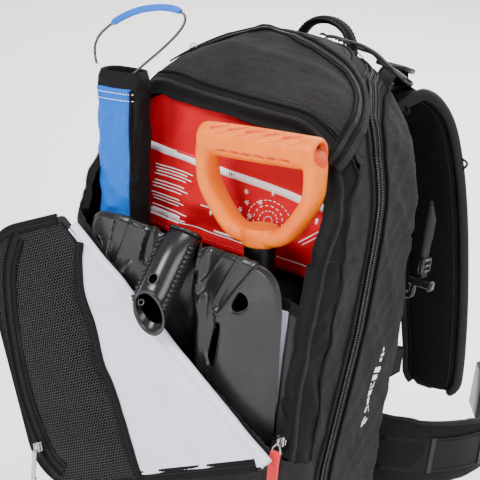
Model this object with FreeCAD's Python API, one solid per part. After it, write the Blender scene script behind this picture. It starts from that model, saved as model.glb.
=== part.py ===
import FreeCAD, Part
import math
import os

# Ski-touring airbag backpack with its shovel and probe, every length in millimetres.
# +X is the wearer's right, -Y the front of the pack, +Y the wearer's back, +Z up.
# The origin is the centre of the flat bottom that the pack stands on.

Vector = FreeCAD.Vector
RIGHT, BACK, UP = Vector(1, 0, 0), Vector(0, 1, 0), Vector(0, 0, 1)
FAR = 700.0                     # longer than anything in the model, for cutting prisms

# ---- driving dimensions -------------------------------------------------------------
WALL = 2.5                      # padded pack fabric
SHEET = 1.0                     # single fabric layers
FIT = 0.4                       # gap round a piece that slides or turns
GAP = 1.0                       # gap between fabric pieces on different bodies
CORNER_FRONT = 32.0             # plan radius of the front corners
CORNER_BACK = 20.0              # plan radius of the back corners
FRONT_BULGE = 10.0              # how far the stuffed front bows out in plan
BASE_TOP = 107.0                # top of the coated base cup
LID_BOTTOM = BASE_TOP + GAP
TOOL_FLOOR = 3.0                # padded floor of the tool compartment
SIDE_FROM = 112.0               # |x| at which the side panels begin
DOME_FROM = 500.0               # height at which the lid's domed top begins

# height, half width, front face, back face of the pack's body
BODY_SIZES = [
    (0, 100, -88, 50), (18, 122, -106, 57), (60, 134, -118, 60), (108, 138, -125, 61),
    (200, 139, -132, 61), (300, 139, -136, 60), (400, 138, -131, 58), (440, 136, -118, 57),
    (475, 128, -100, 55), (500, 116, -84, 53), (520, 101, -70, 51), (540, 80, -50, 48),
    (554, 56, -28, 44), (562, 34, -8, 36),
]

# side view (y, z) of the main zip that parts the tool compartment from the main one
MAIN_ZIP = [(-60, 100), (-60, 200), (-38, 327), (-31, 440), (-29, 484), (-14, 516), (16, 538),
            (46, 546), (80, 548)]
ZIP_TAPE = 13.0                 # width of each side of the main zip's tape
DIVIDER = 3.0                   # padded wall behind the tools

# tool compartment opening, seen from the front (x, z)
FOLD_LEFT = (-121.0, 377.0)
FOLD_RIGHT = (128.0, 222.0)
OPENING_TOP = 508.0
OPENING_LEFT, OPENING_RIGHT = -128.0, 130.0
OPENING_CORNER = 52.0
# side view (y, z) of the surface that the opening is cut back to
OPENING_DEPTH = [(-97, 150), (-97, 425), (-90, 455), (-60, 488), (-46, 530)]
OPENING_TAPE = 11.0             # width of the zip round the opening

RESCUE_INSET, RESCUE_BOTTOM = 10.0, 369.0  # red panel behind the opening

FLAP_Y = -138.0                 # back face of the folded flap
FLAP_THICK = 2.0
FLAP_INSET = 11.0               # the flap is this much smaller than the opening
FLAP_RIM = 10.0                 # binding round the flap
MESH_THICK = 5.0                # mesh pocket on the flap

LEAN = 3.0                      # degrees that the carried tools lean forward
TOOL_Z = 388.0                  # height at which the tools' places are given

BLADE_X, BLADE_BACK = -6.0, -111.0
BLADE_THICK, BLADE_HUMP, BLADE_HUMP_X = 2.5, 14.0, 60.0
# right half of the blade's outline (x from its middle, z), from the tip's corner to the notch
BLADE_TIP = 115.0
BLADE_EDGE = [(114, 137), (114, 230), (113.5, 265), (112, 305), (110, 345), (108, 361),
              (105, 373), (100, 383), (91, 390), (78, 393), (60, 394), (36, 391), (0, 386)]
# openings in the blade (x from its middle, z)
BLADE_HOLES = [
    [(66, 344), (64, 349), (67, 357), (71, 363), (78, 360), (80, 352), (73, 345)],
    [(45, 285), (42, 295), (46, 322), (52, 327), (54, 315), (50, 285)],
    [(12, 277), (15, 268), (7, 268)],
    [(-98, 350), (-90, 365), (-86, 360), (-88, 348), (-94, 341)],
    [(-62, 285), (-60, 295), (-64, 322), (-70, 327), (-72, 315), (-68, 285)],
    [(-12, 277), (-15, 268), (-7, 268)],
]
SOCKET_OUT, SOCKET_TILT, SOCKET_LENGTH = 17.0, 35.0, 68.0
SOCKET_AHEAD = 12.0             # how far the socket's axis starts ahead of the blade's back
SOCKET_TOP = 385.0              # height of the socket's upper end
SOCKET_BEVEL = 41.0             # degrees that the open end's cut is off square
LOCK_HOLE_Z = 352.0
SHAFT_RADIUS = 14.0
BUTTON_RADIUS, BUTTON_TRAVEL = 3.5, 3.0

HANDLE_TILT = 7.0               # degrees that the shovel handle leans to the wearer's left
HANDLE_X, HANDLE_Y = 60.0, -95.0
GRIP_WIDTH, GRIP_HEIGHT, GRIP_DEPTH, GRIP_BAR = 124.0, 104.0, 27.0, 15.0
SHAFT_BOTTOM, GRIP_BOTTOM = 150.0, 398.0

PROBE_TILT = 6.4                # degrees that the probe bag leans to the wearer's left
PROBE_X, PROBE_Y = -91.0, -94.0
PROBE_WIDTH, PROBE_DEPTH = 42.0, 32.0
PROBE_BOTTOM, PROBE_TOP = 160.0, 518.0
PROBE_TUBES, PROBE_TUBE_RADIUS = 6, 5.5

WIRE_RADIUS, WIRE_GRIP_RADIUS = 1.2, 3.2
# the probe's wire loop, from its exit at the left of the bag to where it goes back in
WIRE_ROUTE = [(-131, -110, 518), (-135, -111, 528), (-133, -112, 541), (-123, -113, 553),
              (-107, -114, 566), (-88, -115, 577), (-67, -116, 584), (-49, -117, 587),
              (-36, -117, 585), (-35, -116, 577), (-44, -114, 564), (-60, -112, 547),
              (-78, -110, 530), (-91, -109, 517)]
WIRE_GRIP_SPAN = (3, 8)         # the route's points between which the blue grip lies

PAD_BACK, PAD_TOP = 84.0, 404.0  # wearer's side and top of the foam pads
STRAP_WIDTH, STRAP_THICK = 64.0, 12.0
STRAP_ROUTE = [(46, 74, 462), (47, 79, 488), (51, 97, 507), (60, 121, 510), (74, 137, 490),
               (90, 143, 450), (103, 147, 400), (113, 151, 345), (121, 155, 290),
               (127, 159, 245), (129, 161, 210)]
CHEST_POINT = 7                 # the route point that the chest strap sits at
BELT_CENTRE, BELT_RADIUS, BELT_THICK = (58.0, 204.0), 120.0, 12.0
BELT_BOTTOM, BELT_TOP = 118.0, 200.0
BELT_FROM, BELT_TO = -70.0, 35.0

CYLINDER_X, CYLINDER_Y = -70.0, 12.0
CYLINDER_RADIUS, CYLINDER_BOTTOM, CYLINDER_TOP = 29.0, 120.0, 306.0
VALVE_RADIUS, VALVE_BOTTOM, VALVE_TOP = 17.0, 335.0, 371.0
INFLATOR_RADIUS, INFLATOR_TOP = 25.0, 428.0
AIRBAG = (-92, 92, 0, 40, 432, 512)
LEVER_X = CYLINDER_X + 27.0     # inner face of the release lever
CABLE_X, CABLE_PORT_Z, CABLE_RADIUS = CYLINDER_X + 30.0, 420.0, 2.4
CABLE_ROUTE = [(CABLE_X, CYLINDER_Y, 396), (CABLE_X, CYLINDER_Y, 404),
               (CABLE_X, CYLINDER_Y + 4, 412), (CABLE_X, CYLINDER_Y + 12, 418),
               (CABLE_X, CYLINDER_Y + 25, 420), (CABLE_X, CYLINDER_Y + 40, 420.5),
               (CABLE_X, CYLINDER_Y + 52, 423), (CABLE_X, CYLINDER_Y + 58, 431),
               (CABLE_X, CYLINDER_Y + 60, 442), (CABLE_X, CYLINDER_Y + 60.5, 453)]


# ---- helpers ------------------------------------------------------------------------
def save(name, shape):
    shape.exportStep("parts/" + name + ".step")


def joined(shapes):
    first, rest = shapes[0], list(shapes[1:])
    return first.fuse(rest).removeSplitter() if rest else first


def biggest(shape):
    """The largest solid of a cut, without the slivers that tangent walls can leave."""
    return max(shape.Solids, key=lambda solid: solid.Volume)


def slab(x0, x1, z0, z1):
    """Everything between these bounds, at any depth."""
    return box(x0, x1, -FAR, FAR, z0, z1)


def box(x0, x1, y0, y1, z0, z1):
    return Part.makeBox(x1 - x0, y1 - y0, z1 - z0, Vector(x0, y0, z0))


def soft_box(x0, x1, y0, y1, z0, z1, radius):
    solid = box(x0, x1, y0, y1, z0, z1)
    return solid.makeFillet(radius, solid.Edges)


def rod(start, end, radius):
    start, end = Vector(*start), Vector(*end)
    run = end - start
    return Part.makeCylinder(radius, run.Length, start, run)


def front_prism(outline, y0, y1):
    """Closed (x, z) outline, or a wire in the plane y = 0, drawn out from y0 to y1."""
    wire = outline
    if isinstance(outline, list):
        points = [Vector(x, 0, z) for x, z in outline]
        wire = Part.makePolygon(points + points[:1])
    face = Part.Face(wire)
    face.translate(Vector(0, y0, 0))
    return face.extrude(Vector(0, y1 - y0, 0))


def side_prism(outline, x0, x1):
    """Closed (y, z) outline drawn out from x0 to x1."""
    points = [Vector(x0, y, z) for y, z in outline]
    return Part.Face(Part.makePolygon(points + points[:1])).extrude(Vector(x1 - x0, 0, 0))


def turned(shape, centre, axis, degrees):
    copy = shape.copy()
    copy.rotate(Vector(*centre), axis, degrees)
    return copy


def mirrored(shape):
    return shape.mirror(Vector(0, 0, 0), RIGHT)


def leaned(shape, x, y, tilt=0.0):
    """Lean a tool that was drawn upright: to the wearer's left, then forward."""
    centre = (x, y, TOOL_Z)
    return turned(turned(shape, centre, BACK, -tilt), centre, RIGHT, LEAN)


def between(start, end):
    """The point just under half way from start to end."""
    return tuple(a + 0.45 * (b - a) for a, b in zip(start, end))


def tube_along(route, radius):
    """Straight runs joined by tangent arcs, each as large as its two runs allow."""
    points = [Vector(*p) for p in route]
    edges, last = [], points[0]
    for before, corner, after in zip(points, points[1:], points[2:]):
        into = (corner - before).normalize()
        out = (after - corner).normalize()
        half_turn = into.getAngle(out) / 2
        reach = 0.45 * min(before.distanceToPoint(corner), corner.distanceToPoint(after))
        start, end = corner - into * reach, corner + out * reach
        bend = reach / math.tan(half_turn)
        inward = (out - into).normalize()
        middle = corner + inward * (bend / math.cos(half_turn) - bend)
        edges.append(Part.LineSegment(last, start).toShape())
        edges.append(Part.Arc(start, middle, end).toShape())
        last = end
    edges.append(Part.LineSegment(last, points[-1]).toShape())
    path = Part.Wire(edges)
    ring = Part.Wire(Part.Circle(points[0], points[1] - points[0], radius).toShape())
    tube = path.makePipeShell([ring], True, False)
    length = path.Length
    print("tube", round(length, 1), "mm long, volume ratio",
          round(tube.Volume / (math.pi * radius ** 2 * length), 4))
    return tube


def band_along(route, width, thick, flat_dir=RIGHT):
    """A flat strap of straight pieces through the route, flat across flat_dir."""
    points = [Vector(*p) for p in route]
    rings = []
    for i, point in enumerate(points):
        ahead = points[min(i + 1, len(points) - 1)]
        behind = points[max(i - 1, 0)]
        along = (ahead - behind).normalize()
        across = (flat_dir - along * flat_dir.dot(along)).normalize() * (width / 2)
        out = across.cross(along).normalize() * (thick / 2)
        ring = [point - across - out, point + across - out,
                point + across + out, point - across + out]
        rings.append(Part.makePolygon(ring + ring[:1]))
    return Part.makeLoft(rings, True, True)


# ---- the pack's body ----------------------------------------------------------------
def body_ring(height, half, front, back, inset):
    """Plan outline of the body: flat back and sides, round corners, bowed front."""
    half, front, back = half - inset, front + inset, back - inset
    round_back = min(CORNER_BACK, half * 0.5) - inset * 0.5
    round_front = min(CORNER_FRONT, half * 0.7, (back - front) * 0.4) - inset * 0.5
    bulge = FRONT_BULGE * min(1.0, half / 120.0)
    shoulder = front + bulge
    cut = 1 - math.sqrt(0.5)

    def at(x, y):
        return Vector(x, y, height)

    def corners(side):
        """Three points of the back corner's arc, then three of the front corner's."""
        return [
            at(side * (half - round_back), back),
            at(side * (half - round_back * cut), back - round_back * cut),
            at(side * half, back - round_back),
            at(side * half, shoulder + round_front),
            at(side * (half - round_front * cut), shoulder + round_front * cut),
            at(side * (half - round_front), shoulder),
        ]

    right, left = corners(1), corners(-1)
    edges = [
        Part.LineSegment(left[0], right[0]),
        Part.Arc(*right[:3]),
        Part.LineSegment(right[2], right[3]),
        Part.Arc(*right[3:]),
        Part.Arc(right[5], at(0, front), left[5]),
        Part.Arc(*left[:2:-1]),
        Part.LineSegment(left[3], left[2]),
        Part.Arc(*left[2::-1]),
    ]
    return Part.Wire([edge.toShape() for edge in edges])


def body_solid(inset):
    rings = []
    for index, (height, half, front, back) in enumerate(BODY_SIZES):
        if index == 0:
            height = height + inset
        if index == len(BODY_SIZES) - 1:
            height = height - inset
        rings.append(body_ring(height, half, front, back, inset))
    return Part.makeLoft(rings, True, True)


def ahead_of_zip(shift):
    """Everything in front of the main zip's line, moved forward by shift."""
    line = [(y - shift, z) for y, z in MAIN_ZIP]
    outline = line + [(line[-1][0], FAR), (-FAR, FAR), (-FAR, line[0][1])]
    return side_prism(outline, -FAR, FAR)


def fold_z(x):
    """Height of the fold line at x."""
    slope = (FOLD_RIGHT[1] - FOLD_LEFT[1]) / (FOLD_RIGHT[0] - FOLD_LEFT[0])
    return FOLD_LEFT[1] + slope * (x - FOLD_LEFT[0])


def opening_outline(inset=0.0, top_inset=None):
    """Wire of the tool opening: slanted fold at the bottom, rounded corners on top."""
    rise = inset if top_inset is None else top_inset
    left, right, top = OPENING_LEFT + inset, OPENING_RIGHT - inset, OPENING_TOP - rise
    radius = OPENING_CORNER - max(inset, 0) * 0.5
    cut = radius * (1 - math.sqrt(0.5))
    start, end = Vector(left, 0, fold_z(left)), Vector(right, 0, fold_z(right))
    edges = [
        Part.LineSegment(start, end),
        Part.LineSegment(end, Vector(right, 0, top - radius)),
        Part.Arc(Vector(right, 0, top - radius), Vector(right - cut, 0, top - cut),
                 Vector(right - radius, 0, top)),
        Part.LineSegment(Vector(right - radius, 0, top), Vector(left + radius, 0, top)),
        Part.Arc(Vector(left + radius, 0, top), Vector(left + cut, 0, top - cut),
                 Vector(left, 0, top - radius)),
        Part.LineSegment(Vector(left, 0, top - radius), start),
    ]
    return Part.Wire([edge.toShape() for edge in edges])


def cable_port():
    """The hole through which the release cable leaves for the left shoulder strap."""
    x, z = CABLE_X, CABLE_PORT_Z
    return rod((x, 41, z), (x, 66, z), CABLE_RADIUS + 2)


def fold_direction():
    return Vector(FOLD_RIGHT[0] - FOLD_LEFT[0], 0, FOLD_RIGHT[1] - FOLD_LEFT[1]).normalize()


def folded_over(wire):
    """The wire reflected in the fold line, which turns the opening into the open flap."""
    across = fold_direction().cross(BACK)
    return wire.mirror(Vector(FOLD_LEFT[0], 0, FOLD_LEFT[1]), across)


def split_sides(shell, side_from):
    """Left part, middle part and right part of a shell, cut at x = +-side_from."""
    left = shell.common(slab(-FAR, -side_from, -1, FAR))
    middle = shell.common(slab(-side_from, side_from, -1, FAR))
    right = shell.common(slab(side_from, FAR, -1, FAR))
    return left, middle, right


def make_shells():
    outer, inner = body_solid(0), body_solid(WALL)
    skin = outer.cut(inner)
    save("base_panel", skin.common(slab(-FAR, FAR, -1, BASE_TOP)))

    behind = slab(-FAR, FAR, BASE_TOP, FAR).cut(ahead_of_zip(-GAP / 2))
    rear_skin = skin.common(behind)
    rear_band = ahead_of_zip(-GAP / 2 - ZIP_TAPE)
    save("main_zip_rear", biggest(rear_skin.common(rear_band)))
    left, middle, right = split_sides(rear_skin.cut(rear_band), SIDE_FROM)
    save("side_panel_left", biggest(left))
    save("side_panel_right", biggest(right))
    save("back_wall", biggest(middle.cut(cable_port())))

    lid_space = ahead_of_zip(GAP / 2).common(slab(-FAR, FAR, LID_BOTTOM, FAR))
    divider_space = lid_space.cut(ahead_of_zip(GAP / 2 + DIVIDER))
    lid_skin = skin.common(lid_space)
    lid_band = lid_skin.cut(ahead_of_zip(GAP / 2 + ZIP_TAPE))
    save("main_zip_front", biggest(lid_band))
    save("tool_divider", inner.common(divider_space))
    tool_room = lid_skin.cut(lid_band)
    ahead = side_prism(OPENING_DEPTH + [(-FAR, 530), (-FAR, 150)], -FAR, FAR)
    cutter = front_prism(opening_outline(), -FAR, 0).common(ahead)
    tape = front_prism(opening_outline(-OPENING_TAPE), -FAR, 0).common(ahead).cut(cutter)
    above_fold = front_prism([FOLD_LEFT, FOLD_RIGHT, (FAR, FOLD_RIGHT[1] - 1), (FAR, FAR),
                              (-FAR, FAR), (-FAR, FOLD_LEFT[1] + 1)], -FAR, FAR)
    tape = tape.common(above_fold)
    save("opening_zip", Part.Compound(tool_room.common(tape).Solids))
    walls = tool_room.cut(cutter).cut(tape)
    save("lid_dome", biggest(walls.common(slab(-FAR, FAR, DOME_FROM, FAR))))
    left, middle, right = split_sides(walls.common(slab(-FAR, FAR, 0, DOME_FROM)), SIDE_FROM)
    save("lid_side_left", biggest(left))
    save("lid_side_right", biggest(right))
    save("front_panel", biggest(middle))
    floor = inner.common(lid_space).cut(divider_space)
    save("tool_floor", floor.common(slab(-FAR, FAR, LID_BOTTOM, LID_BOTTOM + TOOL_FLOOR)))


# ---- tool compartment ---------------------------------------------------------------
def make_flap():
    outline = folded_over(opening_outline(0.0, FLAP_INSET))
    inner_line = folded_over(opening_outline(FLAP_RIM, FLAP_INSET + FLAP_RIM))
    plate = front_prism(outline, FLAP_Y - FLAP_THICK, FLAP_Y)
    core = front_prism(inner_line, FLAP_Y - FLAP_THICK, FLAP_Y)
    save("flap_panel", core)
    save("flap_binding", plate.cut(core))

    # the mesh pocket covers the flap's outer corner, beyond a line from top to bottom
    mesh_edge = [(-110, 372), (-46, 175), (-36, 120), (-FAR, 0), (-FAR, 372)]
    mesh_line = folded_over(opening_outline(FLAP_RIM + 1, FLAP_INSET + FLAP_RIM + 1))
    front, back = FLAP_Y - FLAP_THICK - MESH_THICK, FLAP_Y - FLAP_THICK
    solid = front_prism(mesh_line, front, back).common(front_prism(mesh_edge, front, back))
    save("mesh_pocket", biggest(solid))


def make_sliders():
    # slider of the opening's zip, with its fabric pull
    x, y, z = 122.0, -116.0, 238.0
    slider = soft_box(x - 4, x + 4, y - 4, y + 4, z - 8, z + 8, 1.5)
    pull = soft_box(x - 5, x + 5, y - 9, y - 6, z - 38, z - 2, 1.2)
    bridge = box(x - 2, x + 2, y - 7, y, z - 5, z - 2)
    save("opening_slider", joined([slider, pull, bridge]))

    # slider of the mesh pocket's zip
    x, y, z = -120.0, FLAP_Y - FLAP_THICK - MESH_THICK - 1.0, 150.0
    slider = soft_box(x - 4, x + 4, y - 4, y, z - 7, z + 7, 1.5)
    pull = soft_box(x - 2.5, x + 2.5, y - 6, y - 3, z - 38, z - 2, 1.2)
    save("mesh_slider", joined([slider, pull]))

    # the main zip's two sliders, whose long pulls lie over the wearer's right shoulder
    for name, x, y, low in (("main_slider_right", 24.0, 50.6, 545.0),
                            ("main_slider_left", 4.0, 54.6, 551.0)):
        slider = soft_box(x - 7, x + 7, 48, 53, 551, 560, 1.5)
        pull = band_along([(x, y, 558.5), (x + 32, y, 559), (x + 62, y, low)], 2.6, 2.6, BACK)
        end = band_along([(x + 61, y, low + 0.4), (x + 78, y, low - 7)], 3.6, 6, BACK)
        neck = box(x - 2, x + 2, 50, y + 1.3, 556, 559)
        save(name, joined([slider, pull, neck, end]))


def make_inner_cloth():
    panel = front_prism(opening_outline(RESCUE_INSET), -62 - SHEET, -62)
    save("rescue_panel", panel.common(slab(-FAR, FAR, RESCUE_BOTTOM, OPENING_TOP - 4)))
    sleeve = box(36, 118, BLADE_BACK + 0.5, BLADE_BACK + 1.3, 114, 362)
    save("tool_sleeve", leaned(sleeve, BLADE_X, BLADE_BACK))


def spline_wire(points):
    curve = Part.BSplineCurve()
    curve.interpolate([Vector(*p) for p in points])
    return curve.toShape()


def turned_vector(vector, degrees):
    """The vector turned about +X."""
    angle = math.radians(degrees)
    return Vector(vector.x, vector.y * math.cos(angle) + vector.z * math.sin(angle),
                  -vector.y * math.sin(angle) + vector.z * math.cos(angle))


def make_blade():
    mid, half, hump = BLADE_X, BLADE_EDGE[0][0] + 5.0, BLADE_HUMP
    section = [(-half, 0.0), (-half + 14, -0.38 * hump), (-BLADE_HUMP_X, -hump),
               (-34, -0.72 * hump), (-17, -1.0), (0, 0.0), (17, -1.0),
               (34, -0.72 * hump), (BLADE_HUMP_X, -hump), (half - 14, -0.38 * hump), (half, 0.0)]
    front = [(mid + x, BLADE_BACK - BLADE_THICK + y, 0) for x, y in section]
    rear = [(x, y + BLADE_THICK, 0) for x, y, _ in front]
    wire = Part.Wire([spline_wire(front),
                      Part.LineSegment(Vector(*front[-1]), Vector(*rear[-1])).toShape(),
                      spline_wire(rear[::-1]),
                      Part.LineSegment(Vector(*rear[0]), Vector(*front[0])).toShape()])
    plate = Part.Face(wire).extrude(UP * FAR)

    right = [Vector(mid + x, 0, z) for x, z in BLADE_EDGE]
    left = [Vector(mid - x, 0, z) for x, z in BLADE_EDGE]
    outline = Part.Wire([spline_wire(right), spline_wire(left),
                         Part.Arc(left[0], Vector(mid, 0, BLADE_TIP), right[0]).toShape()])
    plate = plate.common(front_prism(outline, -FAR, FAR))
    for hole in BLADE_HOLES:
        plate = plate.cut(front_prism([(mid + x, z) for x, z in hole], -FAR, FAR))

    # the socket: a tube welded in the valley, its open end leaning out and cut on a bevel
    root = Vector(mid, BLADE_BACK - SOCKET_AHEAD, SOCKET_TOP)
    axis = turned_vector(-UP, SOCKET_TILT)
    start, mouth = root - axis * 40, root + axis * SOCKET_LENGTH
    bore = Part.makeCylinder(SHAFT_RADIUS + FIT, 160, start, axis)
    whole = Part.makeCylinder(SOCKET_OUT, 160, start, axis)
    past_mouth = Part.makeCylinder(60, 100, mouth, turned_vector(axis, SOCKET_BEVEL))
    in_front = slab(-FAR, FAR, 0, SOCKET_TOP).common(
        box(-FAR, FAR, -FAR, BLADE_BACK - BLADE_THICK + 0.5, 0, FAR))
    lock_hole = rod((mid, -FAR, LOCK_HOLE_Z), (mid, root.y, LOCK_HOLE_Z), BUTTON_RADIUS + FIT)
    tube = whole.common(in_front).cut(bore).cut(past_mouth).cut(lock_hole)
    plate = plate.cut(bore).cut(whole.common(in_front))
    save("shovel_blade", leaned(biggest(plate), BLADE_X, BLADE_BACK))
    save("blade_socket", leaned(biggest(tube), BLADE_X, BLADE_BACK))
    for name, point in (("root", root), ("mouth", mouth)):
        point = leaned(Part.Vertex(point), BLADE_X, BLADE_BACK).Point
        print("socket", name, [round(v, 2) for v in point], "tilt", SOCKET_TILT - LEAN)


def make_handle():
    """D grip and shaft, drawn upright about the shaft's axis and then leaned."""
    x, y, low = HANDLE_X, HANDLE_Y, GRIP_BOTTOM
    top = low + GRIP_HEIGHT - GRIP_BAR
    half = GRIP_WIDTH / 2
    outer = [(-20, low), (-half + 12, low + 34), (-half, low + 52), (-half + 2, top),
             (half - 2, top), (half, low + 52), (half - 12, low + 34), (20, low)]
    inner = [(-16, low + 22), (-half + 26, low + 42), (-half + 17, low + 56),
             (-half + 18, top - 6), (half - 18, top - 6), (half - 17, low + 56),
             (half - 26, low + 42), (16, low + 22)]
    ring = front_prism([(x + px, pz) for px, pz in outer], y - GRIP_DEPTH / 2, y + GRIP_DEPTH / 2)
    hole = front_prism([(x + px, pz) for px, pz in inner], -FAR, FAR)
    ring = ring.cut(hole)
    bar = rod((x - half + 1, y, top), (x + half - 1, y, top), GRIP_BAR)
    bore = rod((x - half + 12, y, top), (x + half + 5, y, top), GRIP_BAR * 0.5)
    collar = rod((x, y, low), (x, y, low + 18), GRIP_DEPTH / 2)
    grip = joined([ring, bar, collar]).cut(bore)
    socket = rod((x, y, low - 1), (x, y, low + 16), SHAFT_RADIUS - 2.4)
    save("d_grip", leaned(grip.cut(socket), x, y, HANDLE_TILT))

    tube = rod((x, y, SHAFT_BOTTOM), (x, y, low), SHAFT_RADIUS)
    tube = tube.cut(rod((x, y, SHAFT_BOTTOM - 1), (x, y, low - 8), SHAFT_RADIUS - 2))
    spigot = rod((x, y, low - 8), (x, y, low + 15), SHAFT_RADIUS - 2.6)
    hole = rod((x, y + 40, SHAFT_BOTTOM + 22), (x, y, SHAFT_BOTTOM + 22), BUTTON_RADIUS + FIT)
    save("shovel_shaft", leaned(joined([tube, spigot]).cut(hole), x, y, HANDLE_TILT))

    button = rod((x, y + 4, SHAFT_BOTTOM + 22),
                 (x, y + SHAFT_RADIUS + BUTTON_TRAVEL, SHAFT_BOTTOM + 22), BUTTON_RADIUS)
    save("lock_button", leaned(button, x, y, HANDLE_TILT))


def make_probe():
    x, y = PROBE_X, PROBE_Y
    w, d = PROBE_WIDTH / 2, PROBE_DEPTH / 2
    outer = box(x - w, x + w, y - d, y + d, PROBE_BOTTOM, PROBE_TOP)
    outer = outer.makeFillet(8, [e for e in outer.Edges if abs(e.tangentAt(0).z) > 0.9])
    inner = box(x - w + 2, x + w - 2, y - d + 2, y + d - 2, PROBE_BOTTOM + 2, PROBE_TOP + 1)
    inner = inner.makeFillet(6, [e for e in inner.Edges if abs(e.tangentAt(0).z) > 0.9])
    save("probe_bag", leaned(outer.cut(inner), x, y, PROBE_TILT))
    tubes = []
    for index in range(PROBE_TUBES):
        row, column = divmod(index, 3)
        px, py = x + (column - 1) * 11.6, y + (row - 0.5) * 11.6
        tubes.append(rod((px, py, PROBE_BOTTOM + 3), (px, py, PROBE_TOP - 42), PROBE_TUBE_RADIUS))
    save("probe_tubes", leaned(Part.Compound(tubes), x, y, PROBE_TILT))

    save("wire_loop", tube_along(WIRE_ROUTE, WIRE_RADIUS))
    first, last = WIRE_GRIP_SPAN
    grip_route = [between(WIRE_ROUTE[first], WIRE_ROUTE[first + 1])]
    grip_route += WIRE_ROUTE[first + 1:last]
    grip_route.append(between(WIRE_ROUTE[last], WIRE_ROUTE[last - 1]))
    hole = tube_along(grip_route, WIRE_RADIUS + 1.1)
    save("loop_grip", tube_along(grip_route, WIRE_GRIP_RADIUS).cut(hole))


# ---- harness ------------------------------------------------------------------------
def make_back():
    save("frame_sheet", box(-98, 98, 46.0, 48.0, 22, 492).cut(cable_port()))
    stays = [box(side - 12, side + 12, 42.5, 45.8, 30, 484) for side in (-62, 62)]
    save("frame_stays", Part.Compound(stays))
    pads = [soft_box(-100, -22, 61.5, PAD_BACK, 236, PAD_TOP, 8),
            soft_box(22, 100, 61.5, PAD_BACK, 236, PAD_TOP, 8)]
    save("back_pads", Part.Compound(pads))
    save("lumbar_pad", soft_box(-92, 92, 61.5, PAD_BACK + 3, 108, 224, 9))

    ring = rod((0, 58, 543), (0, 70, 543), 32).cut(rod((0, 50, 543), (0, 75, 543), 28))
    ring = ring.common(box(-FAR, FAR, 0, FAR, 543, FAR))
    legs = [box(side - 2, side + 2, 58, 70, 496, 543) for side in (-30, 30)]
    legs += [box(side - 10, side + 10, 54.6, 58, 490, 512) for side in (-30, 30)]
    save("haul_loop", joined([ring] + legs))

    outline = [(61.5, 236), (61.5, 282), (118, 262), (118, 237)]
    wings = [side_prism(outline, side - 1.2, side + 1.2) for side in (-112, 112)]
    save("lower_wings", Part.Compound(wings))

    flap = [(62.5, 378), (62.5, 434), (78, 412), (78, 392)]
    wing = side_prism(flap, 138.5, 141.0)
    webbing = box(138.5, 141.0, 66, 78, 356, 392)
    save("side_strap", joined([wing, webbing]))
    pin = rod((130, 72, 349), (150, 72, 349), 4.5)
    hook = joined([pin, box(132, 137, 68, 76, 334, 349), rod((126, 72, 334), (137, 72, 334), 4.0)])
    save("side_hook", hook)


def make_straps():
    strap = band_along(STRAP_ROUTE, STRAP_WIDTH, STRAP_THICK)
    lifter = joined([box(48, 82, 84, 100, 534, 541), box(56, 76, 98, 101, 524, 536),
                     box(56, 76, 101, 116, 519.5, 524)])
    for node, shape in (("shoulder_strap", strap), ("load_lifter", lifter)):
        save(node + "_right", shape)
        save(node + "_left", mirrored(shape))

    # chest strap halves: a slider that grips the strap, webbing and a buckle half
    x, y, z = STRAP_ROUTE[CHEST_POINT]
    inner_edge = x - STRAP_WIDTH / 2 - 3
    clip = box(inner_edge - 8, inner_edge - 1.5, y - 8, y + 9, z - 12, z + 12)
    web = box(inner_edge - 34, inner_edge - 7, y + 1, y + 3, z - 10, z + 10)
    buckle = soft_box(inner_edge - 58, inner_edge - 34, y - 2, y + 6, z - 14, z + 14, 3)
    save("chest_strap_right", joined([clip, web, buckle]))
    short = soft_box(inner_edge - 56, inner_edge - 34, y - 2, y + 6, z - 11, z + 11, 3)
    save("chest_strap_left", mirrored(joined([clip, web, short])))

    # trigger on the left strap: holder on the strap, T handle that pulls down out of it
    x, y, z = STRAP_ROUTE[8]
    holder = box(-x - 15, -x + 15, y + 9, y + 25, z - 18, z + 24)
    holder = holder.cut(box(-x - 11, -x + 11, y + 12.5, y + 22.5, z - 19, z + 12))
    save("trigger_holder", holder)
    stem = box(-x - 10.5, -x + 10.5, y + 13, y + 22, z - 30, z + 10)
    bar = rod((-x - 24, y + 22, z - 36), (-x + 24, y + 22, z - 36), 9)
    save("trigger_handle", joined([stem, bar]))


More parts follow.
